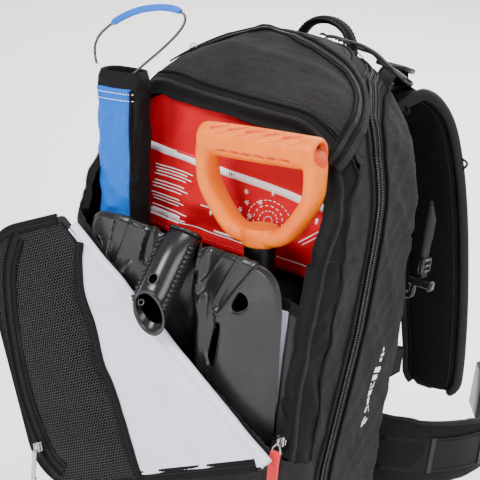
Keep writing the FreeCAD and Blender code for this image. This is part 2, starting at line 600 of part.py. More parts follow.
def make_belt():
    cx, cy = BELT_CENTRE
    inside, outside = BELT_RADIUS - BELT_THICK / 2, BELT_RADIUS + BELT_THICK / 2

    def at(radius, degrees, z):
        angle = math.radians(degrees)
        return Vector(cx + radius * math.cos(angle), cy + radius * math.sin(angle), z)

    steps = 8
    rings = []
    for i in range(steps + 1):
        share = i / steps
        degrees = BELT_FROM + share * (BELT_TO - BELT_FROM)
        top = BELT_TOP - 14 * share
        low = BELT_BOTTOM + 8 * share
        ring = [at(inside, degrees, low), at(outside, degrees, low),
                at(outside, degrees, top), at(inside, degrees, top)]
        rings.append(Part.makePolygon(ring + ring[:1]))
    wing = Part.makeLoft(rings, True, True)
    end = at(BELT_RADIUS, BELT_TO, 0)
    tangent = math.degrees(math.atan2(math.cos(math.radians(BELT_TO)),
                                      -math.sin(math.radians(BELT_TO))))
    web = box(0.5, 44, -1, 1, 138, 176)
    male = joined([box(44, 62, -6, 6, 134, 180), box(62, 86, -4, 4, 150, 164),
                   box(62, 84, -3, 3, 136, 144), box(62, 84, -3, 3, 170, 178)])
    female = soft_box(44, 92, -8, 8, 130, 184, 3).cut(box(60, 93, -5, 5, 134, 180))
    tail = {}
    for name, shape in (("web", web), ("male", male), ("female", female)):
        shape = turned(shape, (0, 0, 0), UP, tangent)
        shape.translate(Vector(end.x, end.y, 0))
        tail[name] = shape
    wing_and_web = Part.Compound([wing, tail["web"]])
    save("belt_wing_right", wing_and_web)
    save("belt_wing_left", mirrored(wing_and_web))
    save("belt_buckle_socket", tail["female"])
    save("belt_buckle_plug", mirrored(tail["male"]))


# ---- inflation system ---------------------------------------------------------------
def make_inflator():
    x, y = CYLINDER_X, CYLINDER_Y
    body = rod((x, y, CYLINDER_BOTTOM), (x, y, CYLINDER_TOP), CYLINDER_RADIUS)
    body = body.makeFillet(14, [e for e in body.Edges if e.Curve.TypeId == "Part::GeomCircle"])
    shoulder = Part.makeCone(16, 9, 14, Vector(x, y, CYLINDER_TOP - 2), UP)
    neck = rod((x, y, CYLINDER_TOP), (x, y, 345), 9)
    room = rod((x, y, CYLINDER_BOTTOM + 3), (x, y, CYLINDER_TOP - 3), CYLINDER_RADIUS - 3)
    room = room.makeFillet(11, [e for e in room.Edges if e.Curve.TypeId == "Part::GeomCircle"])
    save("gas_cylinder", joined([body, shoulder, neck]).cut(room))

    valve = rod((x, y, VALVE_BOTTOM), (x, y, VALVE_TOP), VALVE_RADIUS)
    valve = valve.cut(rod((x, y, VALVE_BOTTOM - 1), (x, y, 348), 9 + FIT))
    valve = valve.cut(rod((x, y, 340), (x, y, VALVE_TOP + 1), 4 + FIT))
    pivot = rod((x + VALVE_RADIUS - 1, y, 358), (LEVER_X + 8, y, 358), 3)
    save("valve_head", joined([valve, pivot]))
    save("striker_pin", rod((x, y, 353), (x, y, 367), 4))

    housing = rod((x, y, VALVE_TOP + 0.1), (x, y, INFLATOR_TOP), INFLATOR_RADIUS)
    flange = rod((x, y, INFLATOR_TOP), (x, y, AIRBAG[4] - 0.1), 18)
    room = rod((x, y, VALVE_TOP + 4), (x, y, AIRBAG[4] + 1), 14)
    window = box(x - 14, x + 14, y - 40, y - 18, VALVE_TOP + 12, INFLATOR_TOP - 10)
    save("inflator_housing", joined([housing, flange]).cut(room).cut(window))
    bars = [box(x - 13.8, x + 13.8, y - 22, y - 19, z, z + 3)
            for z in range(int(VALVE_TOP) + 14, int(INFLATOR_TOP) - 12, 7)]
    rails = [box(x + s, x + s + 2, y - 22, y - 19, VALVE_TOP + 12.2, INFLATOR_TOP - 10.2)
             for s in (-13.8, 11.8)]
    save("inlet_grille", joined(bars + rails))

    lever = joined([rod((LEVER_X, y, 358), (LEVER_X + 6, y, 358), 7),
                    box(LEVER_X, LEVER_X + 6, y - 4, y + 4, 358, 392)])
    save("release_lever", lever.cut(rod((x, y, 358), (x + 60, y, 358), 3.1)))

    x0, x1, y0, y1, z0, z1 = AIRBAG
    save("airbag", soft_box(x0, x1, y0, y1, z0, z1, 14))
    save("release_cable", tube_along(CABLE_ROUTE, CABLE_RADIUS))


os.makedirs("parts", exist_ok=True)
make_shells()
make_flap()
make_sliders()
make_inner_cloth()
make_blade()
make_handle()
make_probe()
make_back()
make_straps()
make_belt()
make_inflator()
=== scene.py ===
import math

import bmesh
import bpy
import numpy as np
from mathutils import Matrix, Vector, noise
from mathutils.bvhtree import BVHTree


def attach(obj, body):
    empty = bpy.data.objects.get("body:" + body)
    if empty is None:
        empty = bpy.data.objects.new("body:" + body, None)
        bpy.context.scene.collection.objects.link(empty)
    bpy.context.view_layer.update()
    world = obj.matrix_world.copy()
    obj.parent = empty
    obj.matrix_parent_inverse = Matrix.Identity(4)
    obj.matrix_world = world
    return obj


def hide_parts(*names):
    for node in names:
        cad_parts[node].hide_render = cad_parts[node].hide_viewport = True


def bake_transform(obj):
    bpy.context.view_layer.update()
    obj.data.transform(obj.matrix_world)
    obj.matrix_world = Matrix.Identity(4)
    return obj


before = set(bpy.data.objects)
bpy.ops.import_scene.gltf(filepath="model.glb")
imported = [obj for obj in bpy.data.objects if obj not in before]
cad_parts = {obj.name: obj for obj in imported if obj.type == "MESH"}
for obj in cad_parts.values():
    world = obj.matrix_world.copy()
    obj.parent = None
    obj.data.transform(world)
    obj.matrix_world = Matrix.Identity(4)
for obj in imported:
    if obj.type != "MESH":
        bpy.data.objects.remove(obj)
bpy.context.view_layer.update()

# Looks for the avalanche airbag backpack. Lengths are in millimetres up to the moment a
# mesh is made, which divides them by 1000. +X is the wearer's right, -Y the pack's front.
MM = 0.001
SCENE = bpy.context.scene
STRAPS, BELTS = ("strap_right", "strap_left"), ("belt_right", "belt_left")


# ---- camera, lights and floor ------------------------------------------------------------
def aim(obj, target, roll=0.0):
    """Points a camera or lamp at the target, rolled about its own axis."""
    turn = (Vector(target) - obj.location).to_track_quat("-Z", "Y").to_matrix()
    obj.rotation_euler = (turn @ Matrix.Rotation(roll, 3, "Z")).to_euler()


def make_camera():
    cam = bpy.data.objects.new("camera", bpy.data.cameras.new("camera"))
    SCENE.collection.objects.link(cam)
    cam.location = (0.7535, -1.2409, 0.8346)
    aim(cam, (-0.0025, -0.0311, 0.3710), math.radians(8))
    cam.data.lens = 120.4
    cam.data.sensor_width = 36
    SCENE.camera = cam


def make_light(name, place, size, power, target=(0.0, 0.0, 0.3)):
    light = bpy.data.objects.new(name, bpy.data.lights.new(name, "AREA"))
    light.data.size = size
    light.data.energy = power
    light.location = place
    aim(light, target)
    SCENE.collection.objects.link(light)


def make_stage():
    make_light("key", (-1.0, -2.2, 2.1), 0.9, 92)
    make_light("low", (0.25, -2.2, 0.15), 0.7, 18)
    make_light("floor_wash", (-0.8, 2.8, 2.4), 3.0, 190, (-0.8, 2.6, 0.0))
    make_light("fill", (2.3, -1.2, 1.4), 1.3, 54)
    make_light("top", (0.1, -0.3, 2.4), 0.9, 34)
    make_light("back", (0.9, 2.2, 1.8), 1.6, 60)
    world = bpy.data.worlds.new("studio")
    world.use_nodes = True
    back = world.node_tree.nodes["Background"]
    back.inputs[0].default_value = (1.0, 1.0, 1.0, 1.0)
    back.inputs[1].default_value = 0.45
    SCENE.world = world
    bm = bmesh.new()
    bmesh.ops.create_grid(bm, x_segments=24, y_segments=24, size=4.0)
    mesh = bpy.data.meshes.new("floor")
    bm.to_mesh(mesh)
    bm.free()
    floor = bpy.data.objects.new("floor", mesh)
    SCENE.collection.objects.link(floor)
    paint = bpy.data.materials.new("floor")
    paint.use_nodes = True
    shader = paint.node_tree.nodes["Principled BSDF"]
    shader.inputs["Base Color"].default_value = (0.94, 0.94, 0.94, 1)
    shader.inputs["Roughness"].default_value = 0.7
    mesh.materials.append(paint)


# ---- materials ---------------------------------------------------------------------------
class Paint:
    """A Principled material whose colour, roughness and bump come from 3-D textures."""

    def __init__(self, name, roughness=0.6, metallic=0.0, sheen=0.0, coat=0.0, specular=None):
        self.material = bpy.data.materials.new(name)
        self.material.use_nodes = True
        self.tree = self.material.node_tree
        self.shader = self.tree.nodes["Principled BSDF"]
        self.shader.inputs["Roughness"].default_value = roughness
        self.shader.inputs["Metallic"].default_value = metallic
        self.shader.inputs["Sheen Weight"].default_value = sheen
        self.shader.inputs["Sheen Roughness"].default_value = 0.45
        self.shader.inputs["Coat Weight"].default_value = coat
        if specular is not None:
            self.shader.inputs["Specular IOR Level"].default_value = specular
        self.place = self.node("ShaderNodeTexCoord").outputs["Object"]
        self.height = None

    def node(self, kind, **settings):
        node = self.tree.nodes.new(kind)
        for key, value in settings.items():
            setattr(node, key, value)
        return node

    def link(self, output, socket):
        self.tree.links.new(output, socket)

    def math(self, operation, first, second=None, clamp=False):
        node = self.node("ShaderNodeMath", operation=operation, use_clamp=clamp)
        for index, value in enumerate((first, second)):
            if value is None:
                continue
            if isinstance(value, (int, float)):
                node.inputs[index].default_value = value
            else:
                self.link(value, node.inputs[index])
        return node.outputs[0]

    def stretched(self, scale, turn=(0, 0, 0)):
        node = self.node("ShaderNodeMapping")
        self.link(self.place, node.inputs["Vector"])
        node.inputs["Scale"].default_value = scale
        node.inputs["Rotation"].default_value = turn
        return node.outputs[0]

    def noise(self, scale, detail=3.0, rough=0.55, place=None):
        node = self.node("ShaderNodeTexNoise")
        node.inputs["Scale"].default_value = scale
        node.inputs["Detail"].default_value = detail
        node.inputs["Roughness"].default_value = rough
        self.link(place or self.place, node.inputs["Vector"])
        return node.outputs["Fac"]

    def bands(self, scale, direction, profile="SIN"):
        node = self.node("ShaderNodeTexWave", wave_type="BANDS", bands_direction=direction,
                         wave_profile=profile)
        node.inputs["Scale"].default_value = scale
        self.link(self.place, node.inputs["Vector"])
        return node.outputs["Fac"]

    def cells(self, scale, feature="F1", place=None):
        node = self.node("ShaderNodeTexVoronoi", feature=feature)
        node.inputs["Scale"].default_value = scale
        self.link(place or self.place, node.inputs["Vector"])
        return node.outputs["Distance"]

    def ramp(self, value, stops):
        node = self.node("ShaderNodeValToRGB")
        self.link(value, node.inputs[0])
        elements = node.color_ramp.elements
        while len(elements) < len(stops):
            elements.new(0.5)
        for element, (position, colour) in zip(elements, stops):
            element.position = position
            element.color = (*colour, 1) if len(colour) == 3 else colour
        return node.outputs[0]

    def mixed(self, factor, first, second):
        node = self.node("ShaderNodeMix", data_type="RGBA")
        for index, value in ((0, factor), (6, first), (7, second)):
            if isinstance(value, (int, float)):
                node.inputs[index].default_value = value
            elif isinstance(value, tuple):
                node.inputs[index].default_value = (*value, 1)
            else:
                self.link(value, node.inputs[index])
        return node.outputs[2]

    def colour(self, output):
        self.link(output, self.shader.inputs["Base Color"])

    def roughness(self, value, low, high):
        node = self.node("ShaderNodeMapRange")
        node.inputs["To Min"].default_value = low
        node.inputs["To Max"].default_value = high
        self.link(value, node.inputs[0])
        self.link(node.outputs[0], self.shader.inputs["Roughness"])

    def bump(self, height, depth, strength=1.0):
        """Adds a bump of this depth in metres over what is there already."""
        node = self.node("ShaderNodeBump")
        node.inputs["Strength"].default_value = strength
        node.inputs["Distance"].default_value = depth
        self.link(height, node.inputs["Height"])
        if self.height is not None:
            self.link(self.height, node.inputs["Normal"])
        self.height = node.outputs[0]
        self.link(self.height, self.shader.inputs["Normal"])


def shade(colour, factor):
    return tuple(min(1.0, c * factor) for c in colour)


def woven(name, colour, pitch=0.9, ripstop=0.0, rough=0.75, sheen=0.25, contrast=0.35,
          crease=0.0, twill=False, specular=0.3, line=0.45):
    """Woven cloth: threads of the pitch in mm, heathered colour, optional ripstop squares."""
    paint = Paint(name, rough, sheen=sheen, specular=specular)
    thread = math.tau / 20 / (pitch * MM)
    if twill:
        weave = paint.bands(thread, "DIAGONAL")
    else:
        across = paint.math("MULTIPLY", paint.bands(thread, "X"), paint.bands(thread, "Z"))
        weave = paint.math("ADD", across, paint.math("MULTIPLY", paint.bands(thread, "Y"), 0.5))
    grain = paint.noise(900, 2.0, 0.7)
    patch = paint.noise(22, 4.0, 0.6)
    mix = paint.math("ADD", paint.math("MULTIPLY", grain, 0.7), paint.math("MULTIPLY", patch, 0.3))
    tone = paint.ramp(mix, [(0.32, shade(colour, 1 - contrast)), (0.52, colour),
                            (0.72, shade(colour, 1 + 1.6 * contrast))])
    if ripstop:
        square = math.tau / 20 / (ripstop * MM)
        lines = paint.math("MAXIMUM", paint.bands(square, "X"),
                           paint.math("MAXIMUM", paint.bands(square, "Z"), paint.bands(square, "Y")))
        thin = paint.ramp(lines, [(0.955, (0, 0, 0)), (0.99, (1, 1, 1))])
        tone = paint.mixed(paint.math("MULTIPLY", thin, line), tone, shade(colour, 0.45))
        paint.bump(thin, 0.00012, 0.6)
    paint.colour(tone)
    paint.roughness(patch, rough - 0.1, rough + 0.1)
    paint.bump(weave, 0.00018, 0.5)
    paint.bump(grain, 0.0002, 0.35)
    if crease:
        fold = paint.noise(28, 5.0, 0.55, paint.stretched((1.0, 1.0, 0.45), (0.3, 0.5, 0.4)))
        paint.bump(fold, crease * MM, 0.6)
    return paint.material


def moulded(name, colour, rough=0.45, grain=0.35, wear=0.15, metallic=0.0, specular=0.3):
    """Moulded plastic or rubber with a fine spark-eroded grain and slight rubbing."""
    paint = Paint(name, rough, metallic=metallic, specular=specular)
    fine = paint.noise(1400, 2.0, 0.6)
    broad = paint.noise(35, 4.0, 0.6)
    tone = paint.ramp(broad, [(0.3, shade(colour, 1 - 0.6 * wear)), (0.55, colour),
                              (0.8, shade(colour, 1 + wear))])
    paint.colour(tone)
    paint.roughness(broad, max(0.05, rough - 0.08), rough + 0.1)
    paint.bump(fine, 0.00012 * grain, 0.8)
    paint.bump(broad, 0.0003 * grain, 0.25)
    return paint.material


def metal(name, colour, rough=0.3, brushed=None):
    """Bare or anodised metal, brushed along an axis, with faint scratches."""
    paint = Paint(name, rough, metallic=1.0)
    scale = {"X": (8, 900, 900), "Y": (900, 8, 900), "Z": (900, 900, 8)}.get(brushed, (500, 500, 500))
    hair = paint.noise(1.0, 2.0, 0.6, paint.stretched(scale))
    broad = paint.noise(45, 5.0, 0.65)
    tone = paint.ramp(broad, [(0.25, shade(colour, 0.8)), (0.6, colour), (0.85, shade(colour, 1.15))])
    paint.colour(tone)
    both = paint.math("ADD", paint.math("MULTIPLY", hair, 0.5), paint.math("MULTIPLY", broad, 0.5))
    paint.roughness(both, max(0.04, rough - 0.12), rough + 0.16)
    paint.bump(hair, 0.00005, 0.3)
    return paint.material


def make_materials():
    m = {}
    m["pack"] = woven("pack_cloth", (0.0195, 0.0180, 0.0192), 0.8, ripstop=5.2, rough=0.85,
                      sheen=0.0, contrast=0.5, crease=0.9, specular=0.12)
    m["tape"] = woven("zip_tape", (0.0065, 0.0062, 0.0063), 0.7, rough=0.75, sheen=0.0,
                      contrast=0.3, twill=True, specular=0.1)
    m["teeth"] = moulded("zip_teeth", (0.006, 0.006, 0.006), 0.5, 0.3)
    m["binding"] = woven("binding", (0.0050, 0.0049, 0.0050), 1.1, rough=0.72, sheen=0.0, specular=0.1)
    m["webbing"] = woven("webbing", (0.0060, 0.0060, 0.0065), 1.5, rough=0.65, sheen=0.0, twill=True,
                         specular=0.15)
    m["lining"] = woven("lining", (0.66, 0.645, 0.77), 0.6, rough=0.55, sheen=0.2,
                        contrast=0.05, crease=1.4)
    m["divider"] = woven("divider_cloth", (0.0045, 0.0044, 0.0048), 0.8, rough=0.65, sheen=0.0,
                         crease=0.8, specular=0.12)
    m["foam"] = foam_paint()
    m["base"] = base_paint()
    m["red_pull"] = woven("red_pull", (0.62, 0.012, 0.02), 1.0, rough=0.6, contrast=0.2)
    m["plastic"] = moulded("black_acetal", (0.0075, 0.0075, 0.008), 0.33, 0.4)
    m["rubber"] = moulded("black_rubber", (0.006, 0.006, 0.006), 0.5, 0.6)
    m["slider"] = metal("slider_metal", (0.52, 0.50, 0.48), 0.28)
    m["steel"] = metal("steel", (0.55, 0.56, 0.58), 0.3, "Z")
    m["brass"] = metal("brass", (0.72, 0.52, 0.22), 0.28, "Z")
    m["cylinder"] = metal("cylinder_grey", (0.40, 0.41, 0.43), 0.38, "X")
    m["stay"] = metal("stay_aluminium", (0.62, 0.63, 0.65), 0.35, "Z")
    m["tube"] = metal("probe_tube", (0.42, 0.44, 0.47), 0.32, "Z")
    m["shaft"] = metal("shaft_black", (0.022, 0.022, 0.024), 0.42, "Z")
    m["grip"] = grip_paint()
    m["wire"] = wire_paint()
    m["sleeve"] = moulded("wire_sleeve", (0.0, 0.115, 0.52), 0.45, 0.3)
    m["trigger"] = moulded("trigger_red", (0.62, 0.02, 0.02), 0.4, 0.4)
    m["housing"] = moulded("inflator_black", (0.03, 0.03, 0.033), 0.45, 0.8)
    m["sheet"] = moulded("frame_sheet", (0.02, 0.02, 0.021), 0.5, 1.0)
    m["airbag"] = woven("airbag_cloth", (0.85, 0.22, 0.015), 0.7, ripstop=6, rough=0.6,
                        contrast=0.2, crease=1.5)
    m["white_print"] = moulded("print_white", (0.86, 0.84, 0.85), 0.6, 0.3, wear=0.05)
    m["panel_red_print"] = moulded("print_red", (0.70, 0.01, 0.025), 0.6, 0.3)
    m["coil"] = moulded("opening_coil", (0.028, 0.027, 0.027), 0.45, 0.2)
    m["thread"] = woven("thread", (0.014, 0.014, 0.014), 0.4, rough=0.6, sheen=0.0, contrast=0.2)
    # darker orange for the grip's slots and hollow end: painted shade
    m["grip_shade"] = moulded("grip_painted_shade", (0.55, 0.045, 0.0), 0.6, 0.4)
    m["edge"] = woven("edge_tape", (0.013, 0.013, 0.0135), 1.2, rough=0.7, sheen=0.0, specular=0.12)
    m["belt"] = woven("belt_cloth", (0.0075, 0.0073, 0.0078), 0.9, rough=0.8, sheen=0.0,
                      crease=0.6, specular=0.1)
    m["sleeve_dark"] = woven("sleeve_dark", (0.014, 0.0125, 0.014), 0.6, rough=0.4, sheen=0.0,
                             crease=0.6, specular=0.3)
    m["red_thread"] = woven("red_thread", (0.75, 0.03, 0.05), 0.4, rough=0.6, sheen=0.1, contrast=0.2)
    m["mesh_back"] = woven("mesh_backing", (0.0045, 0.0045, 0.005), 1.2, rough=0.8, sheen=0.0,
                          specular=0.1)
    m["net"] = moulded("mesh_net", (0.030, 0.031, 0.034), 0.5, 0.3)
    m["red"] = woven("rescue_red", (0.52, 0.0, 0.008), 0.5, rough=0.55, sheen=0.0, contrast=0.1,
                     crease=0.5, specular=0.15)
    m["probe"] = woven("probe_blue", (0.0, 0.105, 0.50), 0.6, ripstop=9.0, rough=0.5, sheen=0.0,
                       contrast=0.12, crease=0.9, specular=0.2, line=0.12)
    m["blade"] = blade_paint()
    m["weld"] = moulded("weld_bead", (0.035, 0.035, 0.034), 0.28, 1.2, metallic=0.8)
    # near-black paint with no reflection for the inside of the socket tube and the floors of its holes:
    # painted shade
    m["void"] = moulded("painted_hole_shade", (0.0008, 0.0008, 0.0008), 1.0, 0.2, specular=0.0)
    return m


def foam_paint():
    """Open air mesh over foam: small hexagonal cells in near-black cloth."""
    paint = Paint("foam_cloth", 0.85, specular=0.08)
    holes = paint.cells(520)
    broad = paint.noise(30, 4.0)
    tone = paint.ramp(holes, [(0.15, (0.001, 0.001, 0.001)), (0.55, (0.0045, 0.0045, 0.005))])
    paint.colour(paint.mixed(paint.math("MULTIPLY", broad, 0.4), tone, (0.008, 0.008, 0.0085)))
    paint.roughness(broad, 0.78, 0.95)
    paint.bump(holes, 0.0004, 0.5)
    return paint.material


def base_paint():
    """Coated base cloth: dark grey, satin, a fine pebbled grain and soft scuffs."""
    paint = Paint("base_cloth", 0.5, specular=0.25)
    pebble = paint.cells(900)
    scuff = paint.noise(40, 6.0, 0.7)
    paint.colour(paint.ramp(scuff, [(0.3, (0.0145, 0.0143, 0.0152)), (0.6, (0.019, 0.0188, 0.0200)),
                                    (0.8, (0.028, 0.0277, 0.0290))]))
    paint.roughness(scuff, 0.38, 0.62)
    paint.bump(pebble, 0.0002, 0.5)
    paint.bump(paint.noise(24, 4.0, 0.5), 0.0012, 0.5)
    return paint.material


def grip_paint():
    """Soft orange moulding, a little lighter where it is rubbed."""
    paint = Paint("grip_orange", 0.45, specular=0.3)
    broad = paint.noise(18, 4.0, 0.6)
    paint.colour(paint.ramp(broad, [(0.3, (0.70, 0.108, 0.0)), (0.55, (0.80, 0.155, 0.0)),
                                    (0.8, (0.88, 0.20, 0.0))]))
    paint.roughness(broad, 0.34, 0.5)
    paint.bump(paint.noise(1500, 2.0), 0.00006, 0.7)
    return paint.material


def blade_paint():
    """Black anodised aluminium, satin, with a fine blasted grain and rubbed patches."""
    paint = Paint("blade_black", 0.3, metallic=0.2, specular=0.42)
    broad = paint.noise(26, 6.0, 0.62)
    paint.colour(paint.ramp(broad, [(0.3, (0.010, 0.0098, 0.0103)), (0.6, (0.015, 0.0147, 0.0155)),
                                    (0.82, (0.026, 0.0255, 0.027))]))
    paint.roughness(broad, 0.20, 0.31)
    paint.bump(paint.noise(2200, 2.0), 0.00005, 0.7)
    paint.bump(paint.noise(1.0, 2.0, 0.6, paint.stretched((700, 700, 20))), 0.00004, 0.3)
    return paint.material


def wire_paint():
    """Twisted steel strands under a thin dark coat."""
    paint = Paint("wire_steel", 0.35, metallic=0.9)
    strands = paint.bands(160, "DIAGONAL")
    paint.colour(paint.ramp(strands, [(0.2, (0.03, 0.03, 0.035)), (0.8, (0.14, 0.14, 0.15))]))
    paint.bump(strands, 0.0003, 0.7)
    return paint.material


# ---- mesh helpers (all in millimetres) ---------------------------------------------------
def piece(name, points, faces, paint, body, smooth=True, slot=None, replaces=(), paints=()):
    """Makes a mesh object that rides on a body, in the given material(s)."""
    mesh = bpy.data.meshes.new(name)
    mesh.from_pydata([tuple(c * MM for c in p) for p in points], [], [tuple(f) for f in faces])
    mesh.validate()
    mesh.materials.append(paint)
    for extra in paints:
        mesh.materials.append(extra)
    obj = bpy.data.objects.new(name, mesh)
    SCENE.collection.objects.link(obj)
    finish_piece(obj, body, smooth, replaces)
    return obj


def smooth_faces(obj):
    obj.data.polygons.foreach_set("use_smooth", [True] * len(obj.data.polygons))


def finish_piece(obj, body, smooth=True, replaces=()):
    if smooth:
        smooth_faces(obj)
    if body:
        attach(obj, body)
    if replaces:
        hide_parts(*replaces)


def apply_all(obj):
    """Applies the object's modifiers to its mesh."""
    graph = bpy.context.evaluated_depsgraph_get()
    mesh = bpy.data.meshes.new_from_object(obj.evaluated_get(graph))
    obj.modifiers.clear()
    old = obj.data
    obj.data = mesh
    bpy.data.meshes.remove(old)


def modify(obj, kind, **settings):
    modifier = obj.modifiers.new(kind.lower(), kind)
    for key, value in settings.items():
        setattr(modifier, key, value)
    apply_all(obj)
    return obj


def sharp_edges(obj, degrees=35):
    """Marks edges above the angle sharp so that shading breaks there."""
    bm = bmesh.new()
    bm.from_mesh(obj.data)
    limit = math.radians(degrees)
    for edge in bm.edges:
        if len(edge.link_faces) == 2 and edge.calc_face_angle(0) > limit:
            edge.smooth = False
    bm.to_mesh(obj.data)
    bm.free()
    return obj


def lerp(a, b, t):
    return a + (b - a) * t


def smoothstep(low, high, value):
    t = np.clip((value - low) / (high - low), 0, 1)
    return t * t * (3 - 2 * t)


def bulged(value, power):
    """A power that keeps the sign; below 1 it squares off a circle's sine or cosine."""
    return math.copysign(abs(value) ** power, value)


def turn(count):
    """Angles evenly round a full turn."""
    return np.linspace(0, math.tau, count + 1)[:-1]


def ahead_of(line):
    """The way the pack's front faces, once for each point of a line."""
    return np.tile((0.0, -1.0, 0.0), (len(line), 1))


def grid_faces(rows, columns):
    """Four-sided faces of a grid of points stored row by row."""
    return [(j * columns + i, j * columns + i + 1, (j + 1) * columns + i + 1, (j + 1) * columns + i)
            for j in range(rows - 1) for i in range(columns - 1)]


def catmull(points, per=8, closed=False):
    """A smooth line through the points, with this many steps per run."""
    pts = [np.array(p, float) for p in points]
    count = len(pts)
    out = []
    for i in range(count if closed else count - 1):
        if closed:
            a, b, c, d = (pts[(i + k) % count] for k in (-1, 0, 1, 2))
        else:
            a, b, c, d = pts[max(i - 1, 0)], pts[i], pts[i + 1], pts[min(i + 2, count - 1)]
        for k in range(per):
            t = k / per
            out.append(0.5 * (2 * b + (c - a) * t + (2 * a - 5 * b + 4 * c - d) * t * t
                              + (3 * b - 3 * c + d - a) * t ** 3))
    if not closed:
        out.append(pts[-1])
    return np.array(out)


def resample(line, step, closed=False):
    """Points at an even step along a polyline."""
    line = np.asarray(line, float)
    if closed:
        line = np.vstack([line, line[:1]])
    gaps = np.linalg.norm(np.diff(line, axis=0), axis=1)
    along = np.concatenate([[0], np.cumsum(gaps)])
    count = max(2, int(round(along[-1] / step)) + 1)
    places = np.linspace(0, along[-1], count)
    out = np.column_stack([np.interp(places, along, line[:, k]) for k in range(line.shape[1])])
    return out[:-1] if closed else out


def frames(line, closed=False):
    """Tangent, normal and binormal at each point, turning as little as possible."""
    line = np.asarray(line, float)
    if closed:
        tangent = np.roll(line, -1, 0) - np.roll(line, 1, 0)
    else:
        tangent = np.gradient(line, axis=0)
    tangent /= np.linalg.norm(tangent, axis=1)[:, None] + 1e-12
    first = np.array((0, 0, 1), float)
    if abs(first @ tangent[0]) > 0.95:
        first = np.array((1.0, 0, 0))
    normals = []
    current = first
    for t in tangent:
        current = current - t * (current @ t)
        current /= np.linalg.norm(current) + 1e-12
        normals.append(current)
    normals = np.array(normals)
    return tangent, normals, np.cross(tangent, normals)


def sweep(line, profile, closed=False, normals=None, scale=None):
    """Sweeps a closed profile of (side, out) points; normals give the out direction."""
    line = np.asarray(line, float)
    if normals is None:
        _, out, side = frames(line, closed)
    else:
        tangent = (np.roll(line, -1, 0) - np.roll(line, 1, 0)) if closed else np.gradient(line, axis=0)
        tangent /= np.linalg.norm(tangent, axis=1)[:, None] + 1e-12
        out = np.asarray(normals, float)
        if out.ndim == 1:
            out = np.repeat(out[None], len(line), 0)
        out = out - tangent * np.sum(out * tangent, axis=1)[:, None]
        out /= np.linalg.norm(out, axis=1)[:, None] + 1e-12
        side = np.cross(tangent, out)
    count = len(profile)
    points = []
    for i, centre in enumerate(line):
        grow = 1.0 if scale is None else scale[i]
        for a, b in profile:
            points.append(centre + side[i] * a * grow + out[i] * b * grow)
    faces = []
    rings = len(line)
    for i in range(rings if closed else rings - 1):
        j = (i + 1) % rings
        for k in range(count):
            n = (k + 1) % count
            faces.append((i * count + k, i * count + n, j * count + n, j * count + k))
    if not closed:
        faces.append(tuple(range(count))[::-1])
        faces.append(tuple((rings - 1) * count + k for k in range(count)))
    return points, faces


def round_profile(radius, count=10):
    return [(radius * math.cos(2 * math.pi * k / count), radius * math.sin(2 * math.pi * k / count))
            for k in range(count)]


def strap_profile(width, thick):
    """Cross-section of webbing: flat with rounded edges and a small raised selvedge."""
    w, t = width / 2, thick / 2
    edge = min(1.2, w * 0.25)
    inner = t * (1 - SELVEDGE)
    return [(-w, -t * 0.5), (-w + edge * 0.5, -t), (-w + edge * 1.6, -inner),
            (w - edge * 1.6, -inner), (w - edge * 0.5, -t), (w, -t * 0.5),
            (w, t * 0.5), (w - edge * 0.5, t), (w - edge * 1.6, inner),
            (-w + edge * 1.6, inner), (-w + edge * 0.5, t), (-w, t * 0.5)]


def gather(*shapes):
    """One list of points and faces from several."""
    points, faces = [], []
    for p, f in shapes:
        base = len(points)
        points.extend(p)
        faces.extend(tuple(i + base for i in face) for face in f)
    return points, faces


def block(centre, size, axes=None, bevel=0.2):
    """A box with cut corners, on its own axes."""
    cx, cy, cz = (s / 2 for s in size)
    b = bevel * min(size)
    axes = np.eye(3) if axes is None else np.asarray(axes, float)
    raw = []
    for sx in (-1, 1):
        for sy in (-1, 1):
            for sz in (-1, 1):
                raw.append((sx * (cx - b), sy * (cy - b), sz * cz))
                raw.append((sx * (cx - b), sy * cy, sz * (cz - b)))
                raw.append((sx * cx, sy * (cy - b), sz * (cz - b)))
    bm = bmesh.new()
    for r in raw:
        bm.verts.new(tuple(r))
    bmesh.ops.convex_hull(bm, input=list(bm.verts))
    bmesh.ops.dissolve_limit(bm, angle_limit=0.05, verts=list(bm.verts), edges=list(bm.edges))
    bm.verts.index_update()
    points = [np.array(centre, float) + np.array(v.co) @ axes for v in bm.verts]
    faces = [tuple(v.index for v in f.verts) for f in bm.faces]
    bm.free()
    return points, faces


def strip_of_blocks(line, normals, size, step, shift=0.0, bevel=0.25, lift=0.0):
    """Small blocks (along, across, out) at an even step along a line on a surface."""
    line = np.asarray(line, float)
    gaps = np.linalg.norm(np.diff(line, axis=0), axis=1)
    along = np.concatenate([[0], np.cumsum(gaps)])
    places = np.arange(step / 2, along[-1], step)
    base, faces = block((0, 0, 0), size, None, bevel)
    base = np.array(base)
    points, out_faces = [], []
    tangent = np.gradient(line, axis=0)
    for place in places:
        centre = np.array([np.interp(place, along, line[:, k]) for k in range(3)])
        t = np.array([np.interp(place, along, tangent[:, k]) for k in range(3)])
        n = np.array([np.interp(place, along, np.asarray(normals)[:, k]) for k in range(3)])
        t /= np.linalg.norm(t) + 1e-12
        n = n - t * (n @ t)
        n /= np.linalg.norm(n) + 1e-12
        side = np.cross(t, n)
        axes = np.array([t, side, n])
        start = len(points)
        points.extend(centre + side * shift + n * lift + base @ axes)
        out_faces.extend(tuple(i + start for i in f) for f in faces)
    return points, out_faces


def stitches(name, line, normals, paint, body, step=3.6, length=2.6, size=0.75, lift=0.35):
    """A row of thread stitches lying on a surface along a line."""
    points, faces = strip_of_blocks(line, normals, (length, size, size * 0.8), step, 0, 0.35, lift)
    return piece(name, points, faces, paint, body)


